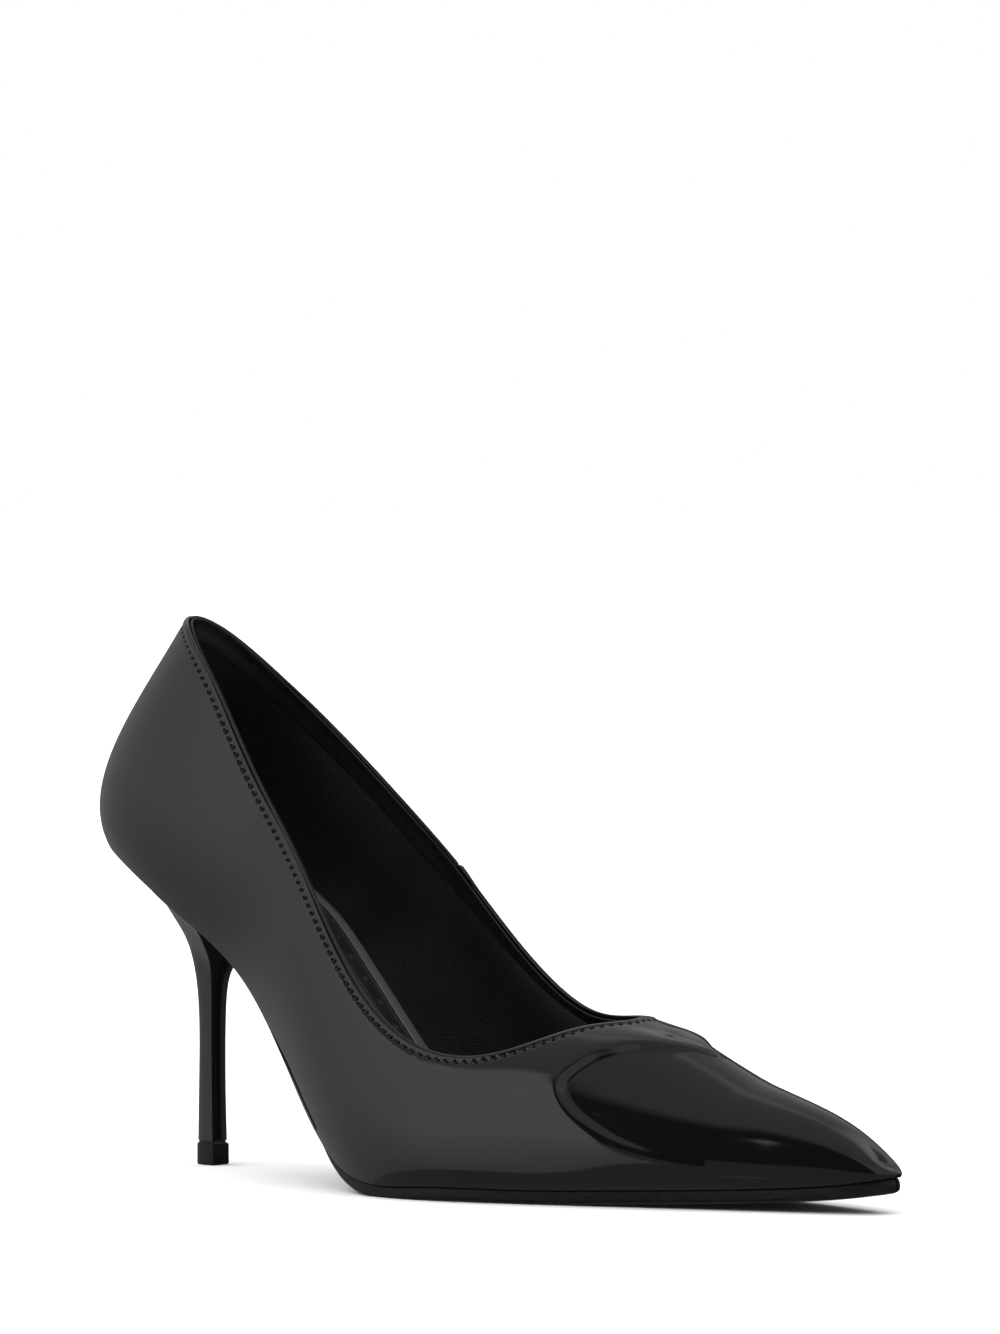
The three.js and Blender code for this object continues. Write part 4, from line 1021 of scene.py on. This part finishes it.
def heel_ring(q, inset, slit):
    """Points round a heel section, from the middle of the breast and back to it."""
    arc = heel_point(q, np.linspace(-1, 1, 73), inset)
    lateral, medial = arc[0], arc[-1]
    width = np.linalg.norm(medial - lateral)

    def breast(share):
        spot = lerp(lateral, medial, share)
        return spot - np.array([min(1.2, width / 20) * (1 - (2 * share - 1) ** 2), 0, 0])

    first = [breast(s) for s in np.linspace(0.5 - slit / width, 0, 7)[:-1]]
    final = [breast(s) for s in np.linspace(1, 0.5 + slit / width, 7)[1:]]
    return np.concatenate([first, arc, final])


def heel_skin():
    """Patent skin round the heel block, its edges meeting down the breast."""
    skin = Skin()
    levels = np.linspace(0, 1, 121) ** 1.1
    outer = np.stack([heel_ring(q, 0.0, COVER_SLIT) for q in levels])
    inner = np.stack([heel_ring(q, COVER_THICK, COVER_SLIT) for q in levels])
    skin.grid(outer, False)
    skin.grid(inner, True)
    for index, flip in ((0, True), (-1, False)):
        skin.grid(np.stack([outer[index], inner[index]], 0), flip)
        skin.grid(np.stack([outer[:, index], inner[:, index]], 1), not flip)
    return settle(skin.build("heel_skin", PATENT), "patent_leather", "heel_cover")


def heel_block():
    """The moulded heel inside its skin."""
    skin = Skin()
    rings = [heel_ring(q, CORE_INSET, 0.0) for q in np.linspace(0, 1, 61) ** 1.1]
    skin.grid(rings, False)
    for ring, flip in ((rings[0], False), (rings[-1], True)):
        half = (len(ring) + 1) // 2
        skin.grid([[ring[k], ring[-1 - k]] for k in range(half)], flip)
    return settle(skin.build("heel_block", HIDDEN["heel_plastic"]), "heel_plastic", "heel_core")


def heel_top_piece():
    """Hard top piece with a crisp shoulder and the fine groove above it."""
    skin = Skin()
    levels = (
        (0.0, -0.35), (0.12, -0.12), (0.35, 0.0), (5.0, 0.0),
        (5.25, -0.05), (5.4, -0.35), (TIP_HEIGHT, -0.55), (6.15, -0.55),
    )
    share = np.linspace(-1, 1, 49)
    angle = share * math.pi / 2
    depth, across = np.maximum(np.cos(angle), 0) ** 0.75, np.sin(angle)
    rings = []
    for z, grow in levels:
        x = lerp(TIP_FRONT_X + grow, TIP_BACK_X - grow, depth)
        arc = np.stack([x, (TIP_HALF + grow) * across, np.full(len(x), z)], -1)
        front = [lerp(arc[-1], arc[0], k) for k in np.linspace(0, 1, 9)[1:]]
        rings.append(np.concatenate([arc, front]))
    skin.grid(rings, True)
    skin.fan(rings[0], (STEM_AXIS_X, 0, rings[0][0][2]), True)
    skin.fan(rings[-1], (STEM_AXIS_X, 0, rings[-1][0][2]), False)
    return settle(skin.build("heel_top_piece", TIP), "tip_rubber", "heel_tip")


def moulding_mark():
    """Small round moulding mark on the front of the top piece."""
    skin = Skin()
    turn = np.linspace(0, 2 * math.pi, 17)
    centre = np.array([TIP_FRONT_X, -0.3, 3.1])
    rings = []
    for radius, out in ((0.46, -0.1), (0.46, 0.02), (0.38, 0.06), (0.28, 0.03), (0.2, -0.04)):
        ring = [np.full(len(turn), out), radius * np.cos(turn), radius * np.sin(turn)]
        rings.append(centre + np.stack(ring, -1))
    skin.grid(rings, False)
    skin.fan(rings[0], rings[0][:-1].mean(0), True)
    skin.fan(rings[-1], rings[-1][:-1].mean(0), False)
    return settle(skin.build("moulding_mark", TIP), "tip_rubber")


# ---------- stage

VIEW_AZIMUTH = 40.0
VIEW_ELEVATION = 1.305
VIEW_DISTANCE = 1800
VIEW_AIM = (115.0, 0.0, 60.0)
VIEW_RIGHT = 7.79
VIEW_UP = 64.69
VIEW_LENS = 268.95
FLOOR_HALF = 60.0


def camera():
    """The photograph's viewing angle: from the outer front, almost level, far away."""
    azimuth, elevation = math.radians(VIEW_AZIMUTH), math.radians(VIEW_ELEVATION)
    right = np.array([math.cos(azimuth), math.sin(azimuth), 0])
    level = math.cos(elevation)
    back = np.array([math.sin(azimuth) * level, -math.cos(azimuth) * level, math.sin(elevation)])
    up = np.cross(back, right)
    aim = np.array(VIEW_AIM) + VIEW_RIGHT * right + VIEW_UP * up
    place = (aim + VIEW_DISTANCE * back) / 1000 + SHIFT
    data = bpy.data.cameras.new("camera")
    data.sensor_fit = "HORIZONTAL"
    data.sensor_width = 36.0
    data.lens = VIEW_LENS
    data.clip_end = 200
    item = put("camera", data)
    turn = Matrix((right.tolist(), up.tolist(), back.tolist())).transposed()
    item.matrix_world = Matrix.Translation(Vector(place.tolist())) @ turn.to_4x4()
    bpy.context.scene.camera = item


def floor():
    """Pale floor, which the lacquer doesn't mirror: its table light is in the studio world."""
    mesh = bpy.data.meshes.new("floor")
    corners = [(x * FLOOR_HALF, y * FLOOR_HALF, 0) for x, y in ((-1, -1), (1, -1), (1, 1), (-1, 1))]
    mesh.from_pydata(corners, [], [(0, 1, 2, 3)])
    item = put("floor", mesh)
    mesh.materials.append(node_material("pale_floor", (0.9, 0.9, 0.9), 1.0, specular=0.0)[0])
    item.visible_glossy = False


def sun(strength):
    """Broad overhead light for the floor; it isn't mirrored in the lacquer."""
    data = bpy.data.lights.new("broad_light", "SUN")
    data.energy = strength
    data.angle = math.radians(120)
    item = put("broad_light", data)
    item.visible_glossy = False
    item.rotation_euler = (math.radians(8), math.radians(-6), 0)


# Soft boxes of the studio as the lacquer sees them: from and to in azimuth (0 faces the outer
# side, 90 the toe, counted from -230 to 130) and in height, all in degrees, with soft edges and
# a brightness.
SOFT_BOXES = (
    (-180, -128, 24, 62, 12, 25, 12, 0.42),
    (-230, -178, 12, 58, 1, 12, 8, 0.4),
    (52, 131, 12, 60, 10, 1, 10, 0.62),
)

# The key panel's edges in the same degrees, its brightness beside its near edge and at the
# far one, and the light from above, from the table and from the dark room.
KEY_EDGE = 3.0
KEY_FAR = -130.0
KEY_LOW = -38.0
KEY_HIGH = 62.0
KEY_NEAR_LIGHT = 1.2
KEY_FAR_LIGHT = 0.15
TOP_LIGHT = 0.42
TABLE_LIGHT = 0.23
DARK = 0.04


def studio_world():
    """White to the camera; to the lacquer a dark room with soft boxes and a pale table."""
    world = bpy.data.worlds.new("studio")
    bpy.context.scene.world = world
    world.use_nodes = True
    tree = world.node_tree
    tree.nodes.clear()
    link = tree.links.new

    def math_node(operation, *inputs):
        node = tree.nodes.new("ShaderNodeMath")
        node.operation = operation
        for socket, value in zip(node.inputs, inputs):
            if isinstance(value, (int, float)):
                socket.default_value = value
            else:
                link(value, socket)
        return node.outputs[0]

    def ramp(value, low, high, first=0.0, final=1.0, kind="SMOOTHSTEP"):
        node = tree.nodes.new("ShaderNodeMapRange")
        node.interpolation_type = kind
        node.inputs["From Min"].default_value = low
        node.inputs["From Max"].default_value = high
        node.inputs["To Min"].default_value = first
        node.inputs["To Max"].default_value = final
        link(value, node.inputs["Value"])
        return node.outputs["Result"]

    def product(first, *others):
        for other in others:
            first = math_node("MULTIPLY", first, other)
        return first

    def add(first, second):
        return math_node("ADD", first, second)

    coordinates = tree.nodes.new("ShaderNodeTexCoord")
    split = tree.nodes.new("ShaderNodeSeparateXYZ")
    link(coordinates.outputs["Generated"], split.inputs[0])
    x, y, z = split.outputs
    turn = math_node("DEGREES", math_node("ARCTAN2", x, product(y, -1.0)))
    turn = math_node("SUBTRACT", turn, product(math_node("GREATER_THAN", turn, 130.0), 360.0))
    height = math_node("DEGREES", math_node("ARCSINE", z))

    # The key panel: brightest beside its sharp near edge, fading round the back and downwards.
    beside = math_node("MAXIMUM", add(turn, 30.0), 0.0)
    sloped = add(height, product(beside, 0.45))
    key = product(
        ramp(turn, KEY_EDGE, KEY_EDGE - 1.5),
        ramp(turn, KEY_FAR - 28, KEY_FAR),
        ramp(height, KEY_LOW - 3, KEY_LOW + 1),
        ramp(sloped, KEY_HIGH + 4, KEY_HIGH),
        ramp(turn, KEY_FAR, -15.0, KEY_FAR_LIGHT, KEY_NEAR_LIGHT, "LINEAR"),
        ramp(height, KEY_LOW, 16.0, 0.52, 1.0, "LINEAR"),
    )

    # The table: right of the key panel it reaches up to the horizon, elsewhere it lies below.
    table = product(ramp(height, 8, 2), ramp(turn, KEY_EDGE - 1.5, KEY_EDGE), ramp(turn, 134, 124))
    table = math_node("MAXIMUM", table, ramp(height, KEY_LOW, KEY_LOW - 3))
    total = add(product(ramp(height, 58, 68), TOP_LIGHT), product(table, TABLE_LIGHT))
    total = add(total, key)
    for left, right, low, high, left_soft, right_soft, level_soft, bright in SOFT_BOXES:
        box = product(
            ramp(turn, left - left_soft, left),
            ramp(turn, right + right_soft, right),
            ramp(height, low - level_soft, low),
            ramp(height, high + level_soft, high),
            bright,
        )
        total = add(total, box)
    total = add(total, DARK)

    def background(*colour):
        node = tree.nodes.new("ShaderNodeBackground")
        node.inputs["Color"].default_value = (*colour, 1)
        return node

    studio = background(1.0, 0.985, 0.99)
    link(total, studio.inputs["Strength"])
    white = background(1, 1, 1)
    rays = tree.nodes.new("ShaderNodeLightPath")
    mix = tree.nodes.new("ShaderNodeMixShader")
    link(rays.outputs["Is Camera Ray"], mix.inputs[0])
    link(studio.outputs[0], mix.inputs[1])
    link(white.outputs[0], mix.inputs[2])
    output = tree.nodes.new("ShaderNodeOutputWorld")
    link(mix.outputs[0], output.inputs["Surface"])


# ---------- assembly

camera()
floor()
sun(4.0)
studio_world()
bpy.context.scene.view_settings.view_transform = "Standard"

upper_skin()
topline_binding()
stitches()
lining("vamp_lining_skin", "vamp_lining", 0.0, 0.6, True)
lining("quarter_lining_skin", "quarter_lining", 0.6001, 1.0, False)
sock_lining()
sock_strip()
outsole()
heel_skin()
heel_block()
heel_top_piece()
moulding_mark()
pad("heel_cushion", "heel_pad", 11.0, 65.0, 9.0)
pad("ball_cushion", "forepart_pad", 109.0, 185.0, 9.0)

for entry in frame["record"]["subparts"]:
    if entry["material_slot"] in HIDDEN:
        node = frame["nodes"][entry["node"]]
        node.data.materials.clear()
        node.data.materials.append(HIDDEN[entry["material_slot"]])
